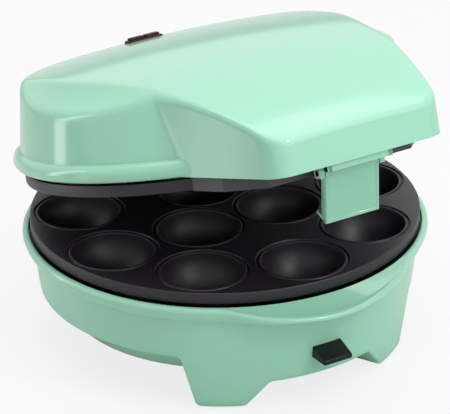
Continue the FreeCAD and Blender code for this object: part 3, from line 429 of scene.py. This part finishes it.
# base bowl: a closed profile round the bowl, with a lower edge that drops into the legs and the apron
bowl = dict(
    wallRadius=96.995, draft=np.tan(np.radians(7.5)), wall=2.5, wallStart=0.8, wallRows=16,
    lipBottom=51.0, lipTop=60.0, lipOut=102.495, lipInside=98.795, lipTaper=3.2,
    lipCrest=0.6, lipPower=0.75,      # where the lip is widest, and how square its section is
    lipRound=((0.0, 0.6), (0.2, 0.15), (0.7, 0.0)), lipRoot=((0.5, 0.0), (0.1, 0.25)),
    ledge=55.0, ledgeInside=95.0, skirt=29.0, skirtMargin=2.0, apron=13.7, floor=0.8,
    frontLeg=33.5, rearLeg=142.0, footHalf=12.0, outerFlare=6.5, innerFlare=15.5, rearStep=1.5,
    flareTop=17.7, legDepth=14.0, legRadius=90.0, legInside=18.0, innerBreak=31.0,
    cornerRound=4.0, cornerSteps=7, edgeRound=1.2, edgeShare=0.3, step=2.0,
    visorReach=111.995, visorRadius=70.0, visorDrop=4.8, visorNose=1.7, visorBlend=0.9, visorTrim=0.2,
    noseWide=(2.4, 4.5), noseRows=15,
    pocketHalf=16.0, pocketRim=1.1, pocketBack=100.645, pocketTop=57.8, seam=0.05,
)


def lowerEdge():
    # (angle, height, depth) round the rim of the skirt: one half from corners with rounded turns, then
    # its mirror image
    def across(leg, x):               # the angle at a distance x along the wall from a leg's middle
        return leg + np.degrees(np.arcsin(x / bowl["legRadius"]))

    def mirrored(half):               # the same values back again on the other side
        return np.concatenate([half, half[1:-1][::-1]])

    foot, out, inn = bowl["footHalf"], bowl["outerFlare"], bowl["innerFlare"]
    floor, skirt, apron = bowl["floor"], bowl["skirt"], bowl["apron"]
    rise = (apron - floor) / (bowl["flareTop"] - floor)
    f, r = bowl["frontLeg"], bowl["rearLeg"]
    corners = np.array([
        (0.0, apron), (across(f, -foot - inn * rise), apron), (across(f, -foot), floor),
        (across(f, foot), floor), (across(f, foot + out), skirt),
        (across(r, -foot - out), skirt), (across(r, -foot), floor), (across(r, foot), floor),
        (across(r, foot + inn), bowl["flareTop"]), (across(r, foot + inn + bowl["rearStep"]), skirt),
        (180.0, skirt)])
    scale = np.radians(1) * bowl["legRadius"]
    path = filletOutline(corners * (scale, 1), [bowl["cornerRound"]] * len(corners), closed=False,
                         steps=bowl["cornerSteps"])
    runs = [np.linspace(a, b, max(2, int(np.ceil(abs(b[0] - a[0]) / bowl["step"]) + 1)))[:-1]
            for a, b in zip(path, path[1:])]
    half = np.concatenate(runs + [path[-1:]])
    angle, height = half[:, 0] / scale, half[:, 1]
    inFront = (angle > corners[1][0]) & (angle < corners[4][0])
    inRear = (angle > corners[5][0]) & (angle < corners[9][0])
    inLeg = (inFront | inRear) & (height < skirt - bowl["skirtMargin"])
    depth = np.where(inLeg, bowl["legDepth"], bowl["wall"])
    both = np.concatenate([angle, 360 - angle[1:-1][::-1]])
    return np.radians(both), mirrored(height), mirrored(depth)


def bowlSurface():
    # rings from the ledge over the lip, down the leaning wall to the lower edge and up the inside again;
    # the lip is a half superellipse, and share runs from 0 on the lip to 1 at the visor's front
    angle, low, depth = lowerEdge()
    turned = signedAngle(angle)
    lipInside, lipTop, lipBottom = bowl["lipInside"], bowl["lipTop"], bowl["lipBottom"]
    rows = []

    def put(r, z):                    # one ring at radius r and height z
        z = np.broadcast_to(z, angle.shape)
        r = np.broadcast_to(r, angle.shape)
        rows.append(np.stack([r * np.sin(angle), -r * np.cos(angle), z], axis=-1))

    def wallAt(z):                    # the leaning wall's radius at a height
        return bowl["wallRadius"] - (lipBottom - z) * bowl["draft"]

    ahead = bowl["visorReach"] - bowl["visorRadius"]
    visor = ahead * np.cos(turned) + np.sqrt(bowl["visorRadius"] ** 2 - (ahead * np.sin(turned)) ** 2)
    visor = np.where(np.abs(turned) < np.pi / 2, visor, 0)
    out = softMax(np.full_like(visor, bowl["lipOut"]), visor, bowl["visorBlend"]) - bowl["visorTrim"]
    share = np.clip((out - bowl["lipOut"]) / (bowl["visorReach"] - bowl["lipOut"]), 0, 1)
    half = (lipTop - lipBottom) / 2
    noseHalf = half + (bowl["visorNose"] - half) * share
    noseWide = bowl["noseWide"][0] + (bowl["noseWide"][1] - bowl["noseWide"][0]) * share
    visorMid = lipTop - bowl["visorDrop"] - bowl["visorNose"]
    noseMid = lipBottom + half + (visorMid - lipBottom - half) * share
    taper = bowl["lipTaper"] * (1 - share)
    power = bowl["lipPower"] + (1 - bowl["lipPower"]) * share
    pocket = (np.abs(out * np.sin(turned)) < bowl["pocketHalf"]) & (np.abs(turned) < np.pi / 2)
    rim = np.where(pocket, bowl["pocketRim"], noseWide)
    put(bowl["ledgeInside"], bowl["ledge"] - bowl["wall"])
    put(bowl["ledgeInside"], bowl["ledge"])
    put(lipInside, bowl["ledge"])
    for outwards, down in bowl["lipRound"]:
        put(lipInside + outwards, lipTop - down)
    for t in np.linspace(np.pi / 2, -np.pi / 2, bowl["noseRows"]):
        c, s = np.cos(t), np.sin(t)
        wide = noseWide if s > 0 else rim
        level = np.sign(s) * np.abs(s) ** power
        fallen = taper * np.clip((bowl["lipCrest"] - level) / (1 + bowl["lipCrest"]), 0, 1)
        put(out - fallen - wide + wide * np.abs(c) ** power, noseMid + noseHalf * level)
    under = noseMid - noseHalf
    fall = bowl["visorDrop"] / (bowl["visorReach"] - lipInside)
    rimBack = out - taper - rim - bowl["seam"]
    pocketBack = np.where(pocket, bowl["pocketBack"], rimBack)
    for inside in (rimBack, pocketBack):
        put(inside, np.where(pocket, bowl["pocketTop"] - fall * (inside - lipInside), under))
    put(pocketBack - bowl["seam"], under)
    for outwards, down in bowl["lipRoot"]:
        put(bowl["wallRadius"] + outwards, under - down)
    start = lipBottom - bowl["wallStart"]
    end = low + bowl["edgeRound"]
    for t in np.linspace(0, 1, bowl["wallRows"]):
        z = start + (end - start) * t
        put(wallAt(z), z)
    small = bowl["edgeRound"] * bowl["edgeShare"]
    put(wallAt(low) - small, low + small)
    put(wallAt(low) - bowl["edgeRound"], low)
    put(wallAt(low) - depth, low)
    z = np.maximum(low + 1, bowl["legInside"])
    put(wallAt(z) - depth, z)
    put(wallAt(bowl["innerBreak"]) - bowl["wall"], bowl["innerBreak"])
    put(bowl["ledgeInside"], bowl["ledge"] - bowl["wall"])
    return ringGrid(np.stack(rows))


ear = dict(inner=24.0, width=10.0, barrel=6.0, arc=(-35, 165, 24), bevel=0.8, foot=95.5)


def hingeEar(side):                   # the ear's side outline: foot on the bowl, barrel at the hinge line
    root = np.array([[ear["foot"], bowl["lipTop"]], [ear["foot"], bowl["lipBottom"]],
                     [bowl["lipOut"] + ear["barrel"], bowl["lipBottom"]]])
    low, high = sorted((side * ear["inner"], side * (ear["inner"] + ear["width"])))
    outline = np.concatenate([hingeBarrel(ear["barrel"], *ear["arc"]), root])
    return prism(outline, low, high, ear["bevel"], 0)


# cord gland in a boss at the back; the rounds are (inwards, forwards) steps over an edge
gland = dict(height=40.0, columns=72, boss=10.5, bossHole=6.55, bossFront=93.0, bossBack=97.5,
             bossRound=((0.0, 0.8), (0.25, 0.2), (0.8, 0.0)),
             flange=9.0, flangeLong=3.0, flangeRound=((0.0, 1.2), (0.5, 0.4), (1.4, 0.0)),
             bore=3.8, boreRound=0.6, body=6.5, inside=88.9)


def backTurned(profile):              # (radius, y) profile swept round the gland's axis
    profile = np.asarray(profile, float)
    a = np.linspace(0, 2 * np.pi, gland["columns"], endpoint=False)
    x = profile[:, :1] * np.cos(a)
    z = gland["height"] + profile[:, :1] * np.sin(a)
    y = np.repeat(profile[:, 1:], gland["columns"], axis=1)
    return ringGrid(np.stack([x, y, z], axis=-1))


def glandBoss():                      # a ring on the wall with a rounded outer edge
    hole, front, back = gland["bossHole"], gland["bossFront"], gland["bossBack"]
    edge = [(gland["boss"] - d, back - e) for d, e in gland["bossRound"]]
    return backTurned([(hole, front), (gland["boss"], front), *edge, (hole, back), (hole, front)])


def glandBody():                      # a sleeve through the boss with a flange outside
    bore, body, inside, back = gland["bore"], gland["body"], gland["inside"], gland["bossBack"]
    end = back + gland["flangeLong"]
    edge = [(gland["flange"] - d, end - e) for d, e in gland["flangeRound"]]
    soft = gland["boreRound"]
    return backTurned([(bore, inside), (body, inside), (body, back), (gland["flange"], back), *edge,
                       (bore + soft, end), (bore, end - soft), (bore, inside)])


baseParts = [bowlSurface(), hingeEar(-1), hingeEar(1), glandBoss()]
makePiece("baseShell", baseParts, mintAbs, "base", ["base_shell"], "mint_shell")
makePiece("cordGland", [glandBody()], blackRubber, "base", ["cord_gland"], "gland_rubber")
print("base shell made")

# baking plates: each cup owns the part of the disc nearest to it, its cell; rings run from the cup's
# centre to the cell's edge
plate = dict(
    top=67.0, low=61.0, radius=97.995, skin=2.4, cup=20.4, cupWall=2.0, cupArc=(-90, -4, 16), ballRows=14,
    outerCups=9, outerRing=25.0 / np.sin(np.pi / 9), innerCups=3, innerRing=23.4 / np.sin(np.pi / 3),
    columns=360, step=2.2,
    # (radius, height over the top) from the cup outwards: raised rim, groove, start of the flat
    rim=((20.42, -0.6), (20.55, -0.2), (20.85, 0.0), (21.45, 0.0), (21.75, -0.2), (21.9, -0.6),
         (22.2, -0.9), (22.6, -0.9), (22.85, -0.6), (22.95, -0.2), (23.15, 0.0)),
    edge=1.0, edgeRound=((1.0, 0.0), (0.45, 0.12), (0.12, 0.45), (0.0, 1.0)),   # shares of the edge
    footRound=((0.0, 0.6), (0.2, 0.15), (0.6, 0.0)), footInside=(0.3, 0.4),
)


def onCircle(radius, degrees):        # plan points at angles counted from the front
    a = np.radians(degrees)
    return radius * np.stack([np.sin(a), -np.cos(a)], axis=1)


def cupCentres():                     # an outer ring with one cup in front, an inner ring with one behind
    outer = onCircle(plate["outerRing"], np.arange(plate["outerCups"]) * 360.0 / plate["outerCups"])
    inner = onCircle(plate["innerRing"], 180 + np.arange(plate["innerCups"]) * 360.0 / plate["innerCups"])
    return np.concatenate([outer, inner])


def clipCell(polygon, centre, other):  # keeps the side of the middle line that is nearer to the centre
    d = other - centre
    s = (polygon - (centre + other) / 2) @ d
    s[np.abs(s) < 1e-7] = 0
    keep = s <= 0
    if keep.all():
        return polygon
    nxt = np.roll(polygon, -1, axis=0)
    sn = np.roll(s, -1)
    cross = (s < 0) & (sn > 0) | (s > 0) & (sn < 0)
    cut = polygon + (nxt - polygon) * (s / np.where(cross, s - sn, 1))[:, None]
    mixed = np.stack([polygon, cut], axis=1).reshape(-1, 2)
    return mixed[np.stack([keep, cross], axis=1).reshape(-1)]


def plateCells(radius):
    # each cup's centre with the border of its cell: the disc cut by the middle lines to all other
    # cups, its edges split into even steps
    disc = onCircle(radius, np.arange(float(plate["columns"])))
    centres = cupCentres()
    for i, centre in enumerate(centres):
        cell = disc
        for other in np.delete(centres, i, axis=0):
            cell = clipCell(cell, centre, other)
        nxt = np.roll(cell, -1, axis=0)
        length = np.linalg.norm(nxt - cell, axis=1)
        counts = np.ceil(length / plate["step"] - 1e-6).astype(int) + 1
        runs = [np.linspace(p, q, n)[:-1] for p, q, n in zip(cell, nxt, counts)]
        yield centre, np.concatenate([run for run, l in zip(runs, length) if l > 1e-6])


def cellSurface(centre, border, profile, height):
    # profile is (radius, height) from the cup's pole outwards; the last ring is the cell's border
    d = border - centre
    d /= np.linalg.norm(d, axis=1, keepdims=True)
    rings = [np.column_stack([centre + d * r, np.full(len(d), z)]) for r, z in profile]
    rings.append(np.column_stack([border, np.full(len(d), height)]))
    return ringGrid(np.stack(rings))


def plateSurface():
    # a half ball with a rimmed groove in each cell, a larger half ball under it, and a turned edge band
    top, low, r, e = plate["top"], plate["low"], plate["radius"], plate["edge"]
    turn = np.radians(np.linspace(*plate["cupArc"]))
    profile = [(plate["cup"] * np.cos(t), top + plate["cup"] * np.sin(t)) for t in turn]
    profile += [(radius, top + z) for radius, z in plate["rim"]]
    parts = [cellSurface(c, b, profile, top) for c, b in plateCells(r - e)]
    under = top - plate["skin"]
    ball = plate["cup"] + plate["cupWall"]
    meet = -np.degrees(np.arcsin(plate["skin"] / ball))
    turn = np.radians(np.linspace(plate["cupArc"][0], meet, plate["ballRows"]))
    back = [(ball * np.cos(t), top + ball * np.sin(t)) for t in turn]
    inside = r - plate["skin"]
    parts += [cellSurface(c, b, back, under) for c, b in plateCells(inside)]
    band = [(r - out * e, top - down * e) for out, down in plate["edgeRound"]]
    band += [(r - out, low + up) for out, up in plate["footRound"]]
    inwards, up = plate["footInside"]
    band += [(inside + inwards, low), (inside, low + up), (inside, under)]
    parts.append(turnedGrid(band, plate["columns"]))
    return parts


lowerPlate = plateSurface()
makePiece("lowerBakingPlate", lowerPlate, nonStick, "base", ["lower_baking_plate"], "non_stick")
mirrorUp = (0, 0, 2 * layout["closedMiddle"])
upperPlate = [(lifted(p * (1, 1, -1) + mirrorUp), f) for p, f in lowerPlate]
makePiece("upperBakingPlate", upperPlate, nonStick, "lid", ["upper_baking_plate"], "non_stick")
print("baking plates made")

# latch: hangs straight down from its pin; a framed front plate, two side flanges and a hook
latch = dict(
    pivotY=-115.834, pivotZ=134.1517, width=30.0, length=26.2, skin=2.4, barrel=2.8, barrelSteps=28,
    hook=6.4, hookRise=2.6, hookSkin=1.6, hookStart=0.4, hookRound=(0.3, 0.7, 0.7, 0), hookBevel=0.35,
    flange=2.0, flangeRoot=0.5, flangeRound=(0, 0.8, 0.5, 0), bevel=0.4,
    frame=1.3, sink=0.45, edge=0.5, edgeHalf=0.15,
)


def latchPlate():                     # front plate as a grid whose depth steps down inside a raised frame
    half, front = latch["width"] / 2, latch["pivotY"] - latch["barrel"]
    bottom, top = latch["pivotZ"] - latch["length"], latch["pivotZ"] + latch["barrel"]
    edge, edgeHalf, border = latch["edge"], latch["edgeHalf"], latch["frame"]
    steps = np.array([0, edgeHalf, edge, border, border + edge])
    fx = np.concatenate([-half + steps, [0], half - steps[::-1]])
    fz = np.concatenate([bottom + steps, [(bottom + top) / 2], top - steps[::-1]])
    x, z = np.meshgrid(fx, fz)
    near = np.minimum(np.minimum(x + half, half - x), np.minimum(z - bottom, top - z))
    sink = np.interp(near, steps, [edge, edgeHalf, 0, 0, latch["sink"]])
    face = np.stack([x, front + sink, z], axis=-1)
    rear = np.stack([x, np.full_like(x, front + latch["skin"]), z], axis=-1)
    rows, cols = x.shape
    faces = gridFaces(rows, cols, wrap=False)
    count = rows * cols
    index = np.arange(count).reshape(rows, cols)
    ring = np.concatenate([index[0], index[1:, -1], index[-1, -2::-1], index[-2:0:-1, 0]])
    back = [[i + count for i in f] for f in faces]
    nxt = np.roll(ring, -1)
    sides = np.stack([ring, nxt, nxt + count, ring + count], axis=1).tolist()
    return np.concatenate([face.reshape(-1, 3), rear.reshape(-1, 3)]), faces + back + sides


def latchParts():                     # the plate, and barrel, hook and flanges as side outlines along x
    half, bottom = latch["width"] / 2, latch["pivotZ"] - latch["length"]
    pin, bevel = latch["pivotZ"], latch["bevel"]
    front = latch["pivotY"] - latch["barrel"]
    inner = front + latch["skin"]
    turn = np.linspace(0, 2 * np.pi, latch["barrelSteps"], endpoint=False)
    barrel = np.stack([latch["pivotY"] + latch["barrel"] * np.cos(turn),
                       pin + latch["barrel"] * np.sin(turn)], axis=1)
    root, tip = front + latch["hookStart"], inner + latch["hook"]
    rise, skin = bottom + latch["hookRise"], latch["hookSkin"]
    hook = filletOutline([(root, bottom), (tip, rise), (tip, rise + skin), (root, bottom + skin)],
                         latch["hookRound"])
    near, far = inner - latch["flangeRoot"], inner + latch["flange"]
    flange = filletOutline([(near, pin), (far, pin), (far, rise), (near, rise)], latch["flangeRound"])
    parts = [latchPlate(), prism(barrel, -half, half, bevel, 0),
             prism(hook, -half, half, latch["hookBevel"], 0)]
    for left in (-half, half - latch["skin"]):
        parts.append(prism(flange, left, left + latch["skin"], bevel, 0))
    return parts


makePiece("lidLatch", latchParts(), mintAbsDarkDull, "latch", ["lid_latch"], "mint_shell")

# latch bracket: a rail behind the hood's front edge, with an arm and a cheek at each end for the pin
bracket = dict(front=-135.595, rail=4.0, back=-121.895, cheekFront=-127.495, outer=18.2, inner=15.4,
               lip=3.6, drop=7.6, lift=1.0, round=0.6, bevel=0.4)


def bracketParts():                   # five rounded blocks under the lid's flange
    top, lip, low = (layout["flange"] + d for d in (bracket["lift"], -bracket["lip"], -bracket["drop"]))
    front, back, outer, inner = bracket["front"], bracket["back"], bracket["outer"], bracket["inner"]

    def block(near, far, bottom, left, right):   # a side outline from near to far, carried along x
        outline = filletOutline([(near, bottom), (far, bottom), (far, top), (near, top)],
                                [bracket["round"]] * 4)
        return prism(outline, left, right, bracket["bevel"], 0)

    parts = [block(front, front + bracket["rail"], lip, -outer, outer)]
    for left, right in ((-outer, -inner), (inner, outer)):
        parts.append(block(front, back, lip, left, right))
        parts.append(block(bracket["cheekFront"], back, low, left, right))
    return [(lifted(p), f) for p, f in parts]


makePiece("latchBracket", bracketParts(), mintAbs, "lid", ["latch_bracket"], "mint_lining")
print("latch made")

# release: a wedge button that slides in the wall, a cross bar and two hooked prongs that reach up to
# the plate's rim
button = dict(low=24.0, high=30.4, width=16.0, wall=94.283, out=104.662, nose=26.56, bevel=0.5,
              round=(0, 0.6, 0.6, 0.8, 0), bar=85.138, barHalf=28.5, barLow=26.0, barHigh=32.0, skin=2.4,
              prong=26.0, prongHalf=2.2, hookFace=88.662, hook=1.6, hookTop=60.7, edge=0.2)


def buttonParts():                    # side outlines of wedge, bar and prongs, carried along x
    low, high, bar, skin = button["low"], button["high"], button["bar"], button["skin"]
    half, edge, reach = button["width"] / 2, button["edge"], button["prongHalf"]
    wedge = filletOutline([(-bar, high), (-button["wall"], high), (-button["out"], button["nose"]),
                           (-button["out"], low), (-bar, low)], button["round"])
    under, over = button["barLow"], button["barHigh"]
    cross = np.array([(-bar, under), (-bar + skin, under), (-bar + skin, over), (-bar, over)])
    face, tip, top = -button["hookFace"], -button["hookFace"] - button["hook"], button["hookTop"]
    arm = np.array([(-bar, under), (face, top - 2 * skin), (face, top - skin), (tip, top - skin),
                    (tip, top), (face + skin, top), (face + skin, top - 2 * skin), (-bar + skin, under)])
    parts = [prism(wedge, -half, half, button["bevel"], 0),
             prism(cross, -button["barHalf"], button["barHalf"], edge, 0)]
    for centre in (-button["prong"], button["prong"]):
        parts.append(prism(arm, centre - reach, centre + reach, edge, 0))
    return parts


makePiece("releaseButton", buttonParts(), blackAbs, "release", ["release_button"], "black_button")
print("release button made")

# indicator: a rounded bezel with two lenses, standing on the roof
lamp = dict(back=61.0, length=20.0, width=7.0, rim=1.2, gap=0.05, corner=1.6, proud=2.4, sink=6.0,
            rimBevel=1.0, lensBevel=0.7)


def lampPieces():                     # bezel, left and right lens: rounded plan outlines carried upwards
    half, wide, back, gap = lamp["length"] / 2, lamp["width"] / 2, lamp["back"], lamp["gap"]
    roof = layout["flange"] + lid["roofHeight"] - (back - lid["apexBack"]) ** 2 / (2 * lid["backArc"])
    low, top = roof - lamp["sink"], roof + lamp["proud"]

    def outline(grow, left, right):   # a plan rectangle with rounded corners
        w = wide + grow
        return filletOutline([(left, back - w), (right, back - w), (right, back + w), (left, back + w)],
                             [lamp["corner"]] * 4)

    shrink = -lamp["rim"] - gap
    inset = half - lamp["rim"] - gap
    return (prism(outline(0, -half, half), low, roof + lamp["proud"] / 2, lamp["rimBevel"], 2),
            prism(outline(shrink, -inset, -gap), low, top, lamp["lensBevel"], 2),
            prism(outline(shrink, gap, inset), low, top, lamp["lensBevel"], 2))


lampNames = (("lampBezel", bezelAbs, "lamp_bezel", "bezel_plastic"),
             ("readyLens", greenLens, "ready_lens", "green_lens"),
             ("powerLens", redLens, "power_lens", "red_lens"))
for (name, finish, node, slot), (points, faces) in zip(lampNames, lampPieces()):
    makePiece(name, [(lifted(points), faces)], finish, "lid", [node], slot)
print("indicator made")

# finishes of the pieces that keep their solid
finishes = dict(
    hood_lining=charcoalNylon, foot_pads=paleRubber, bottom_cover=mintAbs, cover_screws=zincSteel,
    lower_pan_screws=zincSteel, upper_pan_screws=zincSteel, lining_screws=zincSteel,
    lower_heat_pan=burntSteelAndShade, upper_heat_pan=burntSteelAndShade,
    # the pans' dark grey is partly painted shade in the gaps at the plates' edges
    lower_heating_element=heaterSteel, upper_heating_element=heaterSteel,
    lower_element_clips=zincSteel, upper_element_clips=zincSteel,
    release_spring=zincSteel, spring_post=panSteel, thermostat=panSteel,
    lower_thermal_fuse=platedBrass, upper_thermal_fuse=platedBrass,
    terminal_block=naturalNylon, base_wiring=glassSleeve, lid_wiring=glassSleeve,
    hinge_pin=zincSteel, latch_pin=zincSteel, lamp_holder=naturalNylon, neon_lamps=lampGlass,
)
for node, finish in finishes.items():
    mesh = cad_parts[node].data
    mesh.materials.clear()
    mesh.materials.append(finish)
print("finishes set:", len(finishes))

# studio: pale floor, white surroundings, soft lamps; lengths in metres, power in watts
studio = dict(
    azimuth=-30.808, elevation=25.554, roll=1.415, distance=1.9483, aim=(0.0, 0.00562, 0.061),
    lens=309.7, sensor=36.0, shiftX=0.0002, shiftY=0.02146, clipEnd=50.0,
    surround=0.4, floorTone="#DADADA", floorHalf=4.0, floorGlow=0.8,
)
softBoxes = dict(
    topBox=dict(place=(0.15, 0.0, 1.3), aim=(0, 0, 0.1), width=1.9, height=1.6, power=17.5),
    leftStrip=dict(place=(-0.29, 0.175, 0.15), aim=(0, 0, 0.15), width=0.05, height=0.28, power=0.16),
    flankStrip=dict(place=(-0.28, 0.035, 0.05), aim=(-0.06, -0.08, 0.115), width=0.035, height=0.09,
                    power=0.016),
    sparkBox=dict(place=(0.26, -0.85, 0.8), aim=(0, -0.1, 0.06), width=0.13, height=0.13, power=1.6),
    frontBox=dict(place=(0.25, -1.25, 0.85), aim=(0, 0, 0.08), width=1.2, height=1.1, power=7.4),
)
white = (1, 1, 1, 1)


def makeFloor():                      # a square that takes shadows and that the camera sees nearly white
    h = studio["floorHalf"]
    mesh = bpy.data.meshes.new("floor")
    mesh.from_pydata([(-h, -h, 0), (h, -h, 0), (h, h, 0), (-h, h, 0)], [], [(0, 1, 2, 3)])
    material = bpy.data.materials.new("paleFloor")
    tree = emptyTree(material)
    matt = addNode(tree, "ShaderNodeBsdfDiffuse", {"Color": linear(studio["floorTone"])})
    glow = addNode(tree, "ShaderNodeEmission", {"Color": white, "Strength": 1.0})
    path = addNode(tree, "ShaderNodeLightPath")
    seen = addNode(tree, "ShaderNodeMath", {"operation": "MULTIPLY"}, [path.outputs["Is Camera Ray"]])
    seen.inputs[1].default_value = studio["floorGlow"]
    both = addNode(tree, "ShaderNodeMixShader", None, [seen.outputs[0], matt.outputs[0], glow.outputs[0]])
    addNode(tree, "ShaderNodeOutputMaterial", Surface=both.outputs[0])
    mesh.materials.append(material)
    floor = bpy.data.objects.new("floor", mesh)
    bpy.context.scene.collection.objects.link(floor)


def makeWorld():                      # white to the camera, gloss and glass; dimmer as a light
    world = bpy.data.worlds.new("studio")
    bpy.context.scene.world = world
    tree = emptyTree(world)
    path = addNode(tree, "ShaderNodeLightPath").outputs
    direct = addNode(tree, "ShaderNodeMath", {"operation": "MAXIMUM"},
                     [path["Is Camera Ray"], path["Is Glossy Ray"]])
    seen = addNode(tree, "ShaderNodeMath", {"operation": "MAXIMUM"},
                   [direct.outputs[0], path["Is Transmission Ray"]])
    dim = addNode(tree, "ShaderNodeBackground", {"Color": white, "Strength": studio["surround"]})
    bright = addNode(tree, "ShaderNodeBackground", {"Color": white, "Strength": 1.0})
    mix = addNode(tree, "ShaderNodeMixShader", None, [seen.outputs[0], dim.outputs[0], bright.outputs[0]])
    addNode(tree, "ShaderNodeOutputWorld", Surface=mix.outputs[0])


def softBox(name, place, aim, width, height, power):   # a rectangular lamp turned towards its aim
    lampData = bpy.data.lights.new(name, "AREA")
    lampData.shape = "RECTANGLE"
    lampData.size = width
    lampData.size_y = height
    lampData.energy = power
    box = bpy.data.objects.new(name, lampData)
    box.location = place
    box.rotation_euler = (Vector(aim) - Vector(place)).to_track_quat("-Z", "Y").to_euler()
    bpy.context.scene.collection.objects.link(box)


def makeCamera():                     # stands at a turn, a rise and a distance from its aim, then rolls
    data = bpy.data.cameras.new("camera")
    data.lens = studio["lens"]
    data.sensor_width = studio["sensor"]
    data.shift_x = studio["shiftX"]
    data.shift_y = studio["shiftY"]
    data.clip_end = studio["clipEnd"]
    camera = bpy.data.objects.new("camera", data)
    az, el = np.radians(studio["azimuth"]), np.radians(studio["elevation"])
    back = Vector((np.sin(az) * np.cos(el), -np.cos(az) * np.cos(el), np.sin(el)))
    camera.location = Vector(studio["aim"]) + back * studio["distance"]
    level = (-back).to_track_quat("-Z", "Y")
    camera.rotation_euler = (level @ Quaternion((0, 0, 1), -np.radians(studio["roll"]))).to_euler()
    bpy.context.scene.collection.objects.link(camera)
    bpy.context.scene.camera = camera


makeFloor()
makeWorld()
for name, settings in softBoxes.items():
    softBox(name, **settings)
makeCamera()
bpy.context.scene.view_settings.view_transform = "Standard"
print("studio made")
